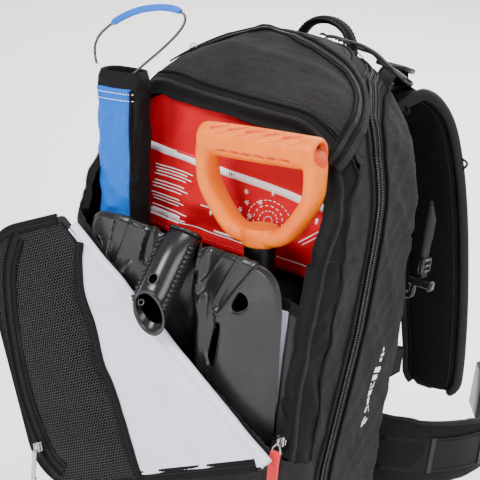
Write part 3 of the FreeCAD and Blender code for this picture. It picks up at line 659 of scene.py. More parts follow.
def loft(rings, closed_ring=True, cap_start=True, cap_end=True):
    """Faces between equal rings of points."""
    count = len(rings[0])
    points = [p for ring in rings for p in ring]
    faces = []
    for i in range(len(rings) - 1):
        for k in range(count if closed_ring else count - 1):
            n = (k + 1) % count
            faces.append((i * count + k, i * count + n, (i + 1) * count + n, (i + 1) * count + k))
    if closed_ring and cap_start:
        faces.append(tuple(range(count))[::-1])
    if closed_ring and cap_end:
        faces.append(tuple((len(rings) - 1) * count + k for k in range(count)))
    return points, faces


def clip(points, faces, values):
    """Keeps the part of a mesh where the value at each point is above zero."""
    points = list(points)
    made, kept = {}, []

    def cut(a, b):
        key = (min(a, b), max(a, b))
        if key not in made:
            t = values[a] / (values[a] - values[b])
            points.append(points[a] + (points[b] - points[a]) * t)
            made[key] = len(points) - 1
        return made[key]

    for face in faces:
        inside = [values[i] > 0 for i in face]
        if all(inside):
            kept.append(tuple(face))
            continue
        if not any(inside):
            continue
        new = []
        for k, i in enumerate(face):
            j = face[(k + 1) % len(face)]
            if values[i] > 0:
                new.append(i)
            if (values[i] > 0) != (values[j] > 0):
                new.append(cut(i, j))
        if len(new) > 2:
            kept.append(tuple(new))
    return compact(points, kept)


def compact(points, faces):
    """Drops unused points and joins points that lie together."""
    used, out_points, out_faces = {}, [], []
    for face in faces:
        new = []
        for i in face:
            key = tuple(np.round(points[i], 3))
            if key not in used:
                used[key] = len(out_points)
                out_points.append(np.asarray(points[i], float))
            if not new or new[-1] != used[key]:
                new.append(used[key])
        if len(new) > 1 and new[0] == new[-1]:
            new.pop()
        if len(new) > 2 and len(set(new)) == len(new):
            out_faces.append(tuple(new))
    return out_points, out_faces


# ---- the pack's body surface -------------------------------------------------------------
BODY_SIZES = [
    (0, 100, -88, 50), (18, 122, -106, 57), (60, 134, -118, 60), (108, 138, -125, 61),
    (200, 139, -132, 61), (300, 139, -136, 60), (400, 138, -131, 58), (440, 136, -118, 57),
    (475, 128, -100, 55), (500, 116, -84, 53), (520, 101, -70, 51), (540, 80, -50, 48),
    (554, 56, -28, 44), (562, 34, -8, 36),
]
MAIN_ZIP = [(-60, 100), (-60, 200), (-38, 327), (-31, 440), (-29, 484), (-14, 516), (16, 538),
            (46, 546), (80, 548)]
OPENING_DEPTH = [(-97, 150), (-97, 425), (-90, 455), (-60, 488), (-46, 530)]
FOLD_LEFT, FOLD_RIGHT = (-121.0, 377.0), (128.0, 222.0)
OPENING_LEFT, OPENING_RIGHT, OPENING_TOP, OPENING_CORNER = -128.0, 130.0, 508.0, 52.0
BASE_TOP = 107.0
ZIP_GAP, ZIP_TAPE = 0.8, 13.5     # half the gap in the main zip, width of each tape
SIDE_SEAM = 402.0               # height of the seam across the side panels


def level_sizes(count):
    """Height, half width, front and back of the body at evenly spaced levels."""
    raw = np.array(BODY_SIZES, float)
    steps = np.linalg.norm(np.diff(raw[:, :3] * [1, 0.8, 0.6], axis=0), axis=1)
    along = np.concatenate([[0], np.cumsum(steps)])
    slopes = np.zeros_like(raw)
    for k in range(4):
        d = np.diff(raw[:, k]) / np.diff(along)
        slopes[0, k], slopes[-1, k] = d[0], d[-1]
        for i in range(1, len(raw) - 1):
            slopes[i, k] = 0 if d[i - 1] * d[i] <= 0 else 2 / (1 / d[i - 1] + 1 / d[i])
    out = []
    for place in np.linspace(0, along[-1], count):
        i = min(int(np.searchsorted(along, place, "right")) - 1, len(raw) - 2)
        h = along[i + 1] - along[i]
        t = (place - along[i]) / h
        out.append((2 * t ** 3 - 3 * t ** 2 + 1) * raw[i] + (t ** 3 - 2 * t ** 2 + t) * h * slopes[i]
                   + (3 * t ** 2 - 2 * t ** 3) * raw[i + 1] + (t ** 3 - t ** 2) * h * slopes[i + 1])
    return np.array(out)


def ring_at(z, half, front, back, inset=0.0):
    """One closed plan outline of the body with the same number of points each time."""
    half, front, back = half - inset, front + inset, back - inset
    rb = min(20.0, half * 0.5)
    rf = min(32.0, half * 0.7, (back - front) * 0.4)
    bulge = 10.0 * min(1.0, half / 120.0)
    shoulder = front + bulge
    out = []

    def run(a, b, count):
        for k in range(count):
            t = k / count
            out.append((lerp(a[0], b[0], t), lerp(a[1], b[1], t)))

    def corner(cx, cy, r, start, end, count):
        for k in range(count):
            a = math.radians(lerp(start, end, k / count))
            out.append((cx + r * math.cos(a), cy + r * math.sin(a)))

    run((-half + rb, back), (half - rb, back), 40)
    corner(half - rb, back - rb, rb, 90, 0, 8)
    run((half, back - rb), (half, shoulder + rf), 34)
    corner(half - rf, shoulder + rf, rf, 0, -90, 14)
    for k in range(64):
        x = lerp(half - rf, -half + rf, k / 64)
        out.append((x, shoulder - bulge * (1 - (x / (half - rf)) ** 2)))
    corner(-half + rf, shoulder + rf, rf, -90, -180, 14)
    run((-half, shoulder + rf), (-half, back - rb), 34)
    corner(-half + rb, back - rb, rb, 180, 90, 8)
    return np.array([(x, y, z) for x, y in out])


def zip_offset(y, z):
    """Distance in the side view from the main zip's line; positive is ahead of it."""
    line = np.array(MAIN_ZIP, float)
    best = np.full(np.shape(y), 1e9)
    sign = np.ones(np.shape(y))
    for (ay, az), (by, bz) in zip(line[:-1], line[1:]):
        dy, dz = by - ay, bz - az
        t = np.clip(((y - ay) * dy + (z - az) * dz) / (dy * dy + dz * dz), 0, 1)
        ey, ez = y - (ay + t * dy), z - (az + t * dz)
        dist = np.hypot(ey, ez)
        side = np.where(dy * (z - az) - dz * (y - ay) > 0, 1.0, -1.0)
        closer = dist < best
        best = np.where(closer, dist, best)
        sign = np.where(closer, side, sign)
    return best * sign


def fold_z(x):
    slope = (FOLD_RIGHT[1] - FOLD_LEFT[1]) / (FOLD_RIGHT[0] - FOLD_LEFT[0])
    return FOLD_LEFT[1] + slope * (x - FOLD_LEFT[0])


def depth_y(z):
    """The y that the tool opening is cut back to at a height."""
    heights = [p[1] for p in OPENING_DEPTH]
    return np.interp(z, heights, [p[0] for p in OPENING_DEPTH])


def outline_distance(x, z, grow=0.0, top_grow=None, right_corner=78.0):
    """Below zero inside the tool opening's outline, in mm to its edge."""
    rise = grow if top_grow is None else top_grow
    left, right, top = OPENING_LEFT - grow, OPENING_RIGHT + grow, OPENING_TOP + rise
    r = np.where(x > 0, right_corner, OPENING_CORNER) + max(grow, 0) * 0.5
    qx = np.abs(x - (left + right) / 2) - ((right - left) / 2 - r)
    qz = z - (top - r)
    box = np.where((qx > 0) & (qz > 0), np.hypot(np.maximum(qx, 0), np.maximum(qz, 0)) - r,
                   np.maximum(qx - r, qz - r))
    length = math.hypot(FOLD_RIGHT[0] - FOLD_LEFT[0], FOLD_RIGHT[1] - FOLD_LEFT[1])
    below = (fold_z(x) - z) * abs(FOLD_RIGHT[0] - FOLD_LEFT[0]) / length - grow
    return np.maximum(box, below)


def opening_field(points, grow=0.0):
    """Below zero where the tool opening's cut takes the body away."""
    x, y, z = points[:, 0], points[:, 1], points[:, 2]
    return np.maximum(outline_distance(x, z, grow), (y - depth_y(z)) - grow * 0.9)


def soft_noise(p, scale, seed=0.0):
    v = Vector((p[0] / scale + seed, p[1] / scale - seed * 0.7, p[2] / scale + seed * 1.3))
    return noise.noise(v)


def crumple(points, normals):
    """Soft folds and sagging in the body's cloth, less at its seams."""
    out = points.copy()
    zipd = np.abs(zip_offset(points[:, 1], points[:, 2]))
    near_zip = smoothstep(6, 34, zipd)
    base = smoothstep(0, 26, np.abs(points[:, 2] - BASE_TOP))
    calm = near_zip * (0.25 + 0.75 * base)
    for i, p in enumerate(points):
        if abs(p[0]) < 118 and p[1] > 45:
            calm[i] *= 0.3
        diagonal = (p[2] * 0.55 + p[1] * 0.9, p[2] * 0.25 - p[1] * 0.3, p[0])
        fold = 1 - abs(noise.noise(Vector((diagonal[0] / 34, diagonal[1] / 60 + 5, diagonal[2] / 70))))
        small = 1 - abs(noise.noise(Vector((diagonal[0] / 15 + 9, diagonal[1] / 30, diagonal[2] / 34 + 4))))
        swell = 2.4 * soft_noise(p, 90, 2.0) - 0.6
        slant = ((p[2] - 0.8 * p[1]) / 26, (p[1] + p[2] * 0.6) / 90, p[0] / 60 + 2)
        pull = 1 - abs(noise.noise(Vector(slant)))
        depth = swell + 3.2 * (fold ** 3 - 0.5) + 1.2 * (small ** 3 - 0.5) + 1.6 * (pull ** 5 - 0.4)
        if p[2] < BASE_TOP:
            depth *= 0.45
        depth *= min(1.0, max(0.0, p[2]) / 26 + 0.1)
        out[i] = p + normals[i] * float(np.clip(depth, -4.5, 3.4)) * calm[i]
    # stitched seams pull in: round the base's top and across the side panels, less near the zip
    seam = np.exp(-((points[:, 2] - BASE_TOP) / 2.6) ** 2) * 1.6
    side_seam = np.exp(-((points[:, 2] - SIDE_SEAM) / 2.6) ** 2) * 2.0
    side_seam *= (np.abs(points[:, 0]) > 126) * near_zip
    out -= normals * (seam + side_seam)[:, None]
    return out


def make_body_grid():
    """Points and faces of the whole outer skin, bottom and top closed."""
    levels = level_sizes(176)
    rings = [ring_at(z, half, front, back) for z, half, front, back in levels]
    count = len(rings[0])
    bottom = rings[0]
    middle = bottom.mean(axis=0)
    first = [middle + (bottom - middle) * s for s in (0.12, 0.35, 0.6, 0.82, 0.95)]
    last = rings[-1]
    top_middle = last.mean(axis=0) + np.array((0, 0, 2.5))
    final = [top_middle + (last - top_middle) * s for s in (0.8, 0.55, 0.3, 0.1)]
    rings = first + rings + final
    points = np.vstack(rings)
    faces = []
    for i in range(len(rings) - 1):
        for k in range(count):
            n = (k + 1) % count
            faces.append((i * count + k, i * count + n, (i + 1) * count + n, (i + 1) * count + k))
    faces.append(tuple(range(count))[::-1])
    faces.append(tuple((len(rings) - 1) * count + k for k in range(count)))
    grid = points.reshape(len(rings), count, 3)
    du = np.roll(grid, -1, 1) - np.roll(grid, 1, 1)
    dv = np.gradient(grid, axis=0)
    normals = np.cross(du, dv).reshape(-1, 3)
    normals /= np.linalg.norm(normals, axis=1)[:, None] + 1e-12
    centre = np.array((0, -35.0, 0))
    outward = np.sum(normals * (points - centre) * [1, 1, 0], axis=1)
    if outward.sum() < 0:
        normals = -normals
        faces = [tuple(reversed(f)) for f in faces]
    return points, normals, faces


def contour(points, faces, values):
    """Chains of rows where the value crosses zero, each row mixed along its edge."""
    made, rows, links = {}, [], {}

    def cross(a, b):
        key = (min(a, b), max(a, b))
        if key not in made:
            t = values[key[0]] / (values[key[0]] - values[key[1]])
            rows.append(points[key[0]] + (points[key[1]] - points[key[0]]) * t)
            made[key] = len(rows) - 1
        return made[key]

    for face in faces:
        hits = []
        for k, i in enumerate(face):
            j = face[(k + 1) % len(face)]
            if (values[i] > 0) != (values[j] > 0):
                hits.append(cross(i, j))
        for a, b in zip(hits[::2], hits[1::2]):
            if a != b:
                links.setdefault(a, set()).add(b)
                links.setdefault(b, set()).add(a)
    chains, seen = [], set()
    starts = [i for i in links if len(links[i]) == 1] + list(links)
    for start in starts:
        if start in seen:
            continue
        chain, here = [start], start
        seen.add(start)
        while True:
            onward = [i for i in links[here] if i not in seen]
            if not onward:
                break
            here = onward[0]
            seen.add(here)
            chain.append(here)
        closed = len(chain) > 3 and start in links[chain[-1]]
        line = [rows[i] for i in chain]
        if closed:
            line.append(rows[start])
        chains.append(np.array(line))
    return sorted(chains, key=len, reverse=True)


def even(chain, step):
    """Place and normal columns of a chain, at an even step and slightly smoothed."""
    rows = resample(chain[:, 3:9], step)
    for _ in range(2):
        rows[1:-1] = (rows[:-2] + 2 * rows[1:-1] + rows[2:]) / 4
    return rows[:, :3], rows[:, 3:]


def shell_piece(name, rows, faces, thick, paint, body, slot, replaces, out=0.0):
    """A cloth shell from rows of (base, shown, normal), thickened inwards."""
    points = [r[3:6] + r[6:9] * out for r in rows]
    obj = piece(name, points, faces, paint, body, slot=slot, replaces=replaces)
    modify(obj, "SOLIDIFY", thickness=-thick * MM, offset=1.0, use_even_offset=False)
    smooth_faces(obj)
    return obj


def make_body(m):
    points, normals, faces = make_body_grid()
    shown = crumple(points, normals)
    rows = np.hstack([points, shown, normals])

    def column(rows_):
        table = np.array(rows_)
        return table, zip_offset(table[:, 1], table[:, 2])

    base, base_faces = clip(rows, faces, BASE_TOP - points[:, 2])
    shell_piece("base_cup", base, base_faces, 2.2, m["base"], "pack_body", "base_fabric", ("base_panel",))

    upper, upper_faces = clip(rows, faces, points[:, 2] - BASE_TOP - 0.05)
    table, d = column(upper)
    rear, rear_faces = clip(table, upper_faces, -ZIP_TAPE - d)
    shell_piece("rear_shell", rear, rear_faces, 2.2, m["pack"], "pack_body", "pack_fabric",
                ("back_wall", "side_panel_left", "side_panel_right"))
    tape, tape_faces = clip(table, upper_faces, -ZIP_GAP - d)
    tape_table, d2 = column(tape)
    tape, tape_faces = clip(tape_table, tape_faces, d2 + ZIP_TAPE)
    shell_piece("zip_tape_rear", tape, tape_faces, 1.6, m["tape"], "pack_body", "zip_tape",
                ("main_zip_rear",), out=-0.9)

    front, front_faces = clip(rows, faces, points[:, 2] - BASE_TOP - 1.0)
    ftable, fd = column(front)
    ahead, ahead_faces = clip(ftable, front_faces, fd - ZIP_GAP)
    atable, ad = column(ahead)
    band, band_faces = clip(atable, ahead_faces, ZIP_TAPE - ad)
    shell_piece("zip_tape_front", band, band_faces, 1.6, m["tape"], "lid", "zip_tape",
                ("main_zip_front",), out=-1.2)
    room, room_faces = clip(atable, ahead_faces, ad - ZIP_TAPE)
    rtable = np.array(room)
    upper_part = rtable[:, 2] > fold_z(rtable[:, 0])
    ring = opening_field(rtable, 10.0)
    hole = opening_field(rtable, 0.0)
    field = np.where(upper_part, ring, hole)
    walls, wall_faces = clip(rtable, room_faces, field)
    shell_piece("lid_shell", walls, wall_faces, 2.2, m["pack"], "lid", "pack_fabric",
                ("lid_dome", "lid_side_left", "lid_side_right", "front_panel"))
    above, above_faces = clip(rtable, room_faces, rtable[:, 2] - fold_z(rtable[:, 0]))
    above_table = np.array(above)
    outer, outer_faces = clip(above_table, above_faces, opening_field(above_table, 0.0))
    outer_table = np.array(outer)
    ring_tape, ring_faces = clip(outer_table, outer_faces, 10.0 - opening_field(outer_table, 0.0))
    shell_piece("opening_tape", ring_tape, ring_faces, 1.4, m["tape"], "lid", "zip_tape",
                ("opening_zip",), out=-0.5)
    keep, keep_faces = clip(rows, faces, points[:, 2] - BASE_TOP - 0.5)
    make_main_zip(*column(keep), keep_faces, m)
    make_opening_trim(above_table, above_faces, m)
    tree = BVHTree.FromPolygons([Vector(r[3:6]) for r in rows], faces)
    make_base_details(rows, faces, tree, m)
    make_upper_zip(tree, m)
    make_side_seams(tree, m)
    make_side_print(tree, m)


def even_chains(table, faces, values, least, step):
    """The long chains where the value crosses zero, at an even step, with their normals."""
    return [even(chain, step) for chain in contour(table, faces, values) if len(chain) >= least]


def make_main_zip(table, offsets, faces, m):
    """Two columns of ribbed coil, the zip's folded edge in front and its piping behind."""
    shapes, front_shapes = [], []
    for line, out in even_chains(table, faces, offsets, 40, 1.0):
        for side, store in ((1, shapes), (-1, front_shapes)):
            store.append(strip_of_blocks(line, out, (1.5, 3.0, 2.2), 2.3, side * 3.3, 0.3, 0.1))
            store.append(strip_of_blocks(line, out, (2.3, 1.0, 1.4), 2.3, side * 1.1, 0.3, -0.5))
            store.append(strip_of_blocks(line, out, (2.6, 0.8, 0.8), 2.6, side * 8.6, 0.3, -0.6))
        side_of_front(line, out, shapes, front_shapes)
    piece("main_zip_teeth_rear", *gather(*shapes), m["teeth"], "pack_body", smooth=False, slot="zip_tape")
    piece("main_zip_teeth_front", *gather(*front_shapes), m["teeth"], "lid", smooth=False,
          slot="zip_tape")
    for offset, name, radius, body, lift in ((-13.6, "zip_piping_rear", 1.5, "pack_body", 0.3),
                                             (13.6, "zip_piping_front", 1.9, "lid", 0.2)):
        parts = [sweep(line + out * lift, round_profile(radius, 8), normals=out)
                 for line, out in even_chains(table, faces, offsets - offset, 40, 2.5)]
        piece(name, *gather(*parts), m["binding"], body, slot="binding_black")
    for offset, name, body in ((-16.8, "zip_stitch_rear", "pack_body"), (17.4, "zip_stitch_front", "lid")):
        parts = [strip_of_blocks(line, out, (2.3, 0.5, 0.45), 3.3, 0, 0.3, 0.12)
                 for line, out in even_chains(table, faces, offsets - offset, 40, 1.5)]
        piece(name, *gather(*parts), m["binding"], body, slot="pack_fabric")


def make_opening_trim(table, faces, m):
    """Fine coil, piping, stitching and placket round the tool opening."""
    rim = opening_field(table, 0.0)
    coil = []
    for line, out in even_chains(table, faces, rim - 2.6, 30, 0.8):
        coil.append(strip_of_blocks(line, out, (0.75, 1.5, 1.1), 1.45, 0.9, 0.25, 0.1))
        coil.append(strip_of_blocks(line, out, (0.75, 1.0, 0.9), 1.45, -0.7, 0.25, 0.0))
    edge = [sweep(line + out * 0.2, round_profile(1.3, 8), normals=out)
            for line, out in even_chains(table, faces, rim - 10.2, 30, 2.0)]
    stitch = [strip_of_blocks(line, out, (2.2, 0.5, 0.45), 3.2, 0, 0.3, 0.1)
              for line, out in even_chains(table, faces, rim - 13.4, 30, 1.5)]
    piece("opening_coil", *gather(*coil), m["coil"], "lid", smooth=False, slot="zip_tape")
    piece("opening_piping", *gather(*edge), m["binding"], "lid", slot="binding_black")
    piece("opening_stitch", *gather(*stitch), m["binding"], "lid", slot="pack_fabric")
    make_placket(even_chains(table, faces, rim - 0.2, 30, 2.5), m)


def side_of_front(line, out, rear_shapes, front_shapes):
    """Puts each column of teeth on the body whose side of the zip it lies on."""
    middle = len(line) // 3
    tangent = line[middle + 1] - line[middle - 1]
    side = np.cross(tangent, out[middle])
    if zip_offset(*(line[middle] + side / np.linalg.norm(side) * 3)[1:]) > 0:
        rear_shapes[-3:], front_shapes[-3:] = front_shapes[-3:], rear_shapes[-3:]


def make_placket(lines, m):
    """The zip tape's inner half, folded in round the tool opening."""
    shapes = []
    centre = np.array((0.0, -20.0, 360.0))
    for line, out in lines:
        rings = []
        for i, (p, n) in enumerate(zip(line, out)):
            inward = centre - p
            inward = inward - n * (inward @ n)
            tangent = line[min(i + 1, len(line) - 1)] - line[max(i - 1, 0)]
            tangent /= np.linalg.norm(tangent) + 1e-9
            inward -= tangent * (inward @ tangent)
            inward /= np.linalg.norm(inward) + 1e-9
            wide = 9.5 + 2.6 * soft_noise(p, 40, 3.0) + 5.0 * smoothstep(300, 230, p[2])
            drop = 1.6 * soft_noise(p, 24, 8.0)
            ring = []
            for t in np.linspace(0, 1, 9):
                dip = -1.0 - 5.0 * math.sin(t * math.pi * 0.9) * 0.5 - 3.0 * t + drop * t
                ring.append(p + inward * wide * t + n * dip)
            back = [q - n * 1.3 for n, q in zip([n] * 9, ring[::-1])]
            rings.append(ring + back)
        shapes.append(loft(rings))
    piece("opening_placket", *gather(*shapes), m["divider"], "lid", slot="divider_black")


def on_surface(tree, points, lift=0.0):
    """The nearest places on the body to these points, with the surface's normals."""
    places, outs = [], []
    for p in points:
        place, normal, _, _ = tree.find_nearest(Vector(tuple(p)))
        places.append(np.array(place) + np.array(normal) * lift)
        outs.append(np.array(normal))
    outs = np.array(outs)
    for _ in range(3):
        outs[1:-1] = (outs[:-2] + outs[1:-1] + outs[2:]) / 3
    places = np.array(places)
    for _ in range(2):
        places[1:-1] = (places[:-2] + 2 * places[1:-1] + places[2:]) / 4
    return places, outs / np.linalg.norm(outs, axis=1)[:, None]


def make_upper_zip(tree, m):
    """The small upper pocket's curved zip, under a raised fold of cloth with piping."""
    route = [(-92, -30, 540), (-60, -8, 556), (-17, 4, 563), (21, -3, 562), (52, -5, 555), (74, -8, 544),
             (91, -19, 530), (103, -39, 517), (108, -61, 502), (109, -74, 491), (107, -84, 483)]
    line, out = on_surface(tree, resample(catmull(route, 10), 1.2), 0.5)
    tangent = np.gradient(line, axis=0)
    side = np.cross(tangent, out)
    side /= np.linalg.norm(side, axis=1)[:, None]
    p, f = sweep(line, strap_profile(10.5, 1.3), normals=out)
    piece("upper_zip_tape", p, f, m["tape"], "lid", slot="zip_tape")
    shapes = [strip_of_blocks(line, out, (0.9, 1.7, 1.2), 1.5, s * 1.0, 0.25, 0.9) for s in (-1, 1)]
    piece("upper_zip_coil", *gather(*shapes), m["coil"], "lid", smooth=False, slot="zip_tape")
    inner = 1 if (side[len(side) // 2] @ (np.array((0, -60, 480)) - line[len(line) // 2])) > 0 else -1
    for name, shift, radius, lift in (("upper_zip_piping", -5.6, 1.9, 0.9),
                                      ("upper_zip_edge", 5.4, 1.2, 0.4)):
        edge = line + side * shift * inner + out * lift
        p, f = sweep(edge[::2], round_profile(radius, 10), normals=out[::2])
        piece(name, p, f, m["binding"], "lid", slot="binding_black")
    garage = line + side * -9.0 * inner
    p, f = sweep(garage[::2], [(-4.0, -0.4), (-3.8, 0.6), (-1.5, 1.5), (1.6, 1.9), (3.6, 1.2), (4.0, -0.4)],
                 normals=out[::2])
    piece("upper_zip_fold", p, f, m["pack"], "lid", slot="pack_fabric")
    stitch = line + side * -12.8 * inner
    p, f = strip_of_blocks(stitch, out, (2.2, 0.5, 0.45), 3.2, 0, 0.3, 0.3)
    piece("upper_zip_stitch", p, f, m["binding"], "lid", slot="pack_fabric")
    up = out[4]
    along = tangent[4] - up * (tangent[4] @ up)
    along /= np.linalg.norm(along)
    shapes = slider_shape(line[4] + up * 1.2, [along, np.cross(up, along), up], 0.8)
    piece("upper_zip_slider", *gather(*shapes), m["slider"], "lid", slot="slider_metal")
    tail, lift = on_surface(tree, [line[4] - along * d for d in (3, 8, 14, 20, 26)], 1.8)
    p, f = sweep(catmull(tail, 6), strap_profile(3.2, 1.6), normals=lift[2])
    piece("upper_zip_pull", p, f, m["binding"], "lid", slot="pull_black")


def make_side_seams(tree, m):
    """Stitching along the seam across each side panel, before and behind the main zip."""
    for side, word in ((1, "right"), (-1, "left")):
        for name, body, y0, y1 in (("front", "lid", -104, -54), ("rear", "pack_body", -14, 44)):
            guide = [(side * 160, lerp(y0, y1, t), SIDE_SEAM + 4.0) for t in np.linspace(0, 1, 30)]
            places = []
            for g in guide:
                hit = tree.ray_cast(Vector(g), Vector((-side, 0, 0)))
                if hit[0] is not None:
                    places.append(np.array(hit[0]))
            line = resample(np.array(places), 1.5)
            out = np.tile((float(side), 0.0, 0.0), (len(line), 1))
            stitches("side_seam_%s_%s" % (name, word), line, out, m["thread"], body, 3.2, 2.2, 0.5, 0.15)


def make_side_print(tree, m):
    """A plain printed mark on the right side panel: a long bar, short bars and dots."""
    shapes = []
    marks = [((4.2 + 1.5 * k, 236 + 7.6 * k), (5.3 + 1.5 * k, 241.4 + 7.6 * k), 6.4) for k in range(6)]
    marks += [((15.0 + 1.0 * k, 284.5 + 5.0 * k), (15.6 + 1.0 * k, 287.6 + 5.0 * k), 3.4) for k in range(3)]
    marks += [((-0.5 + 4.0 * k, 222), (1.5 + 4.0 * k, 230 - 3 * abs(k - 1)), 2.4) for k in range(3)]
    for (y0, z0), (y1, z1), width in marks:
        rows = []
        for t in np.linspace(0, 1, 14):
            ring = []
            for e in (-1, 1):
                y, z = lerp(y0, y1, t) + e * width / 2, lerp(z0, z1, t)
                hit = tree.ray_cast(Vector((200, y, z)), Vector((-1, 0, 0)))
                ring.append(np.array(hit[0]) + np.array((0.35, 0, 0)))
            rows.append(ring + [q - np.array((0.5, 0, 0)) for q in ring[::-1]])
        shapes.append(loft(rows))
    piece("side_print", *gather(*shapes), m["white_print"], "pack_body", slot="pack_fabric")


def make_base_details(rows, faces, tree, m):
    """Seam piping round the base, a stitch row just below it and the stitched rhombus on each side."""
    chain = contour(rows, faces, rows[:, 2] - (BASE_TOP - 0.6))[0]
    line, out = even(chain, 2.5)
    p, f = sweep(line + out * -0.2, round_profile(1.3, 8), normals=out)
    piece("base_seam_piping", p, f, m["binding"], "pack_body", slot="base_fabric")
    chain = contour(rows, faces, rows[:, 2] - (BASE_TOP - 4.5))[0]
    line, out = even(chain, 1.5)
    stitches("base_stitch", line, out, m["binding"], "pack_body", 3.4, 2.4, 0.55, 0.1)
    outline = [(-86, 96), (-64, 30), (14, 22), (-14, 92)]
    for name, side in (("base_patch_right", 1), ("base_patch_left", -1)):
        line, out = [], []
        loop = resample(np.array(outline + outline[:1], float), 2.0)
        for y, z in loop:
            hit = tree.ray_cast(Vector((side * 300, y, z)), Vector((-side, 0, 0)))
            if hit[0] is not None:
                line.append(np.array(hit[0]))
                out.append(np.array((side, 0.0, 0.0)))
        stitches(name, np.array(line), np.array(out), m["binding"], "pack_body", 3.0, 2.2, 0.6, 0.3)


# ---- flap --------------------------------------------------------------------------------
FLAP_Y = -138.0
FLAP_U, FLAP_V = (-93, 322), (0, 306)     # extents of the flap's grid
POCKET_DEPTH = 5.0
SELVEDGE = 0.25                   # share of a webbing's half thickness its edge stands up
SIM_FRAMES = 20
FOLD_LENGTH = math.hypot(FOLD_RIGHT[0] - FOLD_LEFT[0], FOLD_RIGHT[1] - FOLD_LEFT[1])
ALONG = np.array((FOLD_RIGHT[0] - FOLD_LEFT[0], 0, FOLD_RIGHT[1] - FOLD_LEFT[1])) / FOLD_LENGTH
DOWN = np.array((ALONG[2], 0, -ALONG[0]))
MESH_EDGE = [(-118, 400), (-105, 362), (-103, 341), (-90, 306), (-65, 263), (-41, 220), (-26, 195),
             (-12, 168), (2, 140), (20, 90)]
FLAP_AXIS = np.array((-121.0, -138.0, 377.0))


def flap_point(u, v, y):
    return np.array((FOLD_LEFT[0], y, FOLD_LEFT[1])) + ALONG * u + DOWN * v


def flap_edge_distance(u, v):
    """Distance to the flap's outline, below zero inside; the opening's outline unfolded."""
    p = np.array((FOLD_LEFT[0], 0, FOLD_LEFT[1])) + ALONG * u + DOWN * -v
    return outline_distance(np.array([p[0]]), np.array([p[2]]), 0.0, -11.0, OPENING_CORNER)[0]


def line_distance(x, z, line):
    """Signed distance in front view to a polyline; above zero on its right-hand side."""
    best, sign = np.full(np.shape(x), 1e9), np.ones(np.shape(x))
    for (ax, az), (bx, bz) in zip(line[:-1], line[1:]):
        dx, dz = bx - ax, bz - az
        t = np.clip(((x - ax) * dx + (z - az) * dz) / (dx * dx + dz * dz), 0, 1)
        ex, ez = x - (ax + t * dx), z - (az + t * dz)
        dist = np.hypot(ex, ez)
        side = np.where(dx * (z - az) - dz * (x - ax) < 0, 1.0, -1.0)
        closer = dist < best
        best, sign = np.where(closer, dist, best), np.where(closer, side, sign)
    return best * sign


def flap_lift(u, v):
    """How far the open flap's face stands out: soft folds that fan from the fold line."""
    edge = -flap_edge_distance(u, v)
    calm = float(smoothstep(4, 30, edge) * smoothstep(2, 26, v))
    fold = 0.0
    for angle, width, u0, height in ((0.5, 13, 120, 3.0), (0.9, 10, 160, 2.6), (-0.35, 12, 190, 2.4),
                                     (0.2, 15, 60, 2.2), (-0.8, 10, 230, 2.0)):
        d = (u - u0) * math.cos(angle) + (v - 40) * math.sin(angle)
        fold += height * math.exp(-(d / width) ** 2)
    ripple = (1.4 * noise.noise(Vector((u / 45, v / 30, 3.0)))
              + 0.7 * noise.noise(Vector((u / 18, v / 14, 7.0))))
    return calm * (fold + ripple + 1.4)


def flap_rows(step, y, lift=1.0):
    us = np.arange(*FLAP_U, step)
    vs = np.arange(*FLAP_V, step)
    rows = []
    for v in vs:
        for u in us:
            rows.append(flap_point(u, v, y - lift * flap_lift(u, v)))
    rows = np.array(rows)
    extra = np.array([(u, v, flap_edge_distance(u, v)) for v in vs for u in us])
    return np.hstack([rows, extra]), grid_faces(len(vs), len(us))


def free_run(line, away):
    """The part of the flap's closed edge that lies away from the fold line, as one run."""
    far = (line - FLAP_AXIS) @ DOWN > away
    starts = [i for i in range(len(line)) if far[i] and not far[i - 1]]
    best = []
    for start in starts:
        run = []
        for k in range(len(line)):
            i = (start + k) % len(line)
            if not far[i]:
                break
            run.append(line[i])
        best = run if len(run) > len(best) else best
    return np.array(best)


def cloth_layer(name, rows, faces, paint, body, slot, thick=0.9, replaces=()):
    obj = piece(name, [r[:3] for r in rows], faces, paint, body, slot=slot, replaces=replaces)
    modify(obj, "SOLIDIFY", thickness=thick * MM, offset=0.0)
    smooth_faces(obj)
    return obj


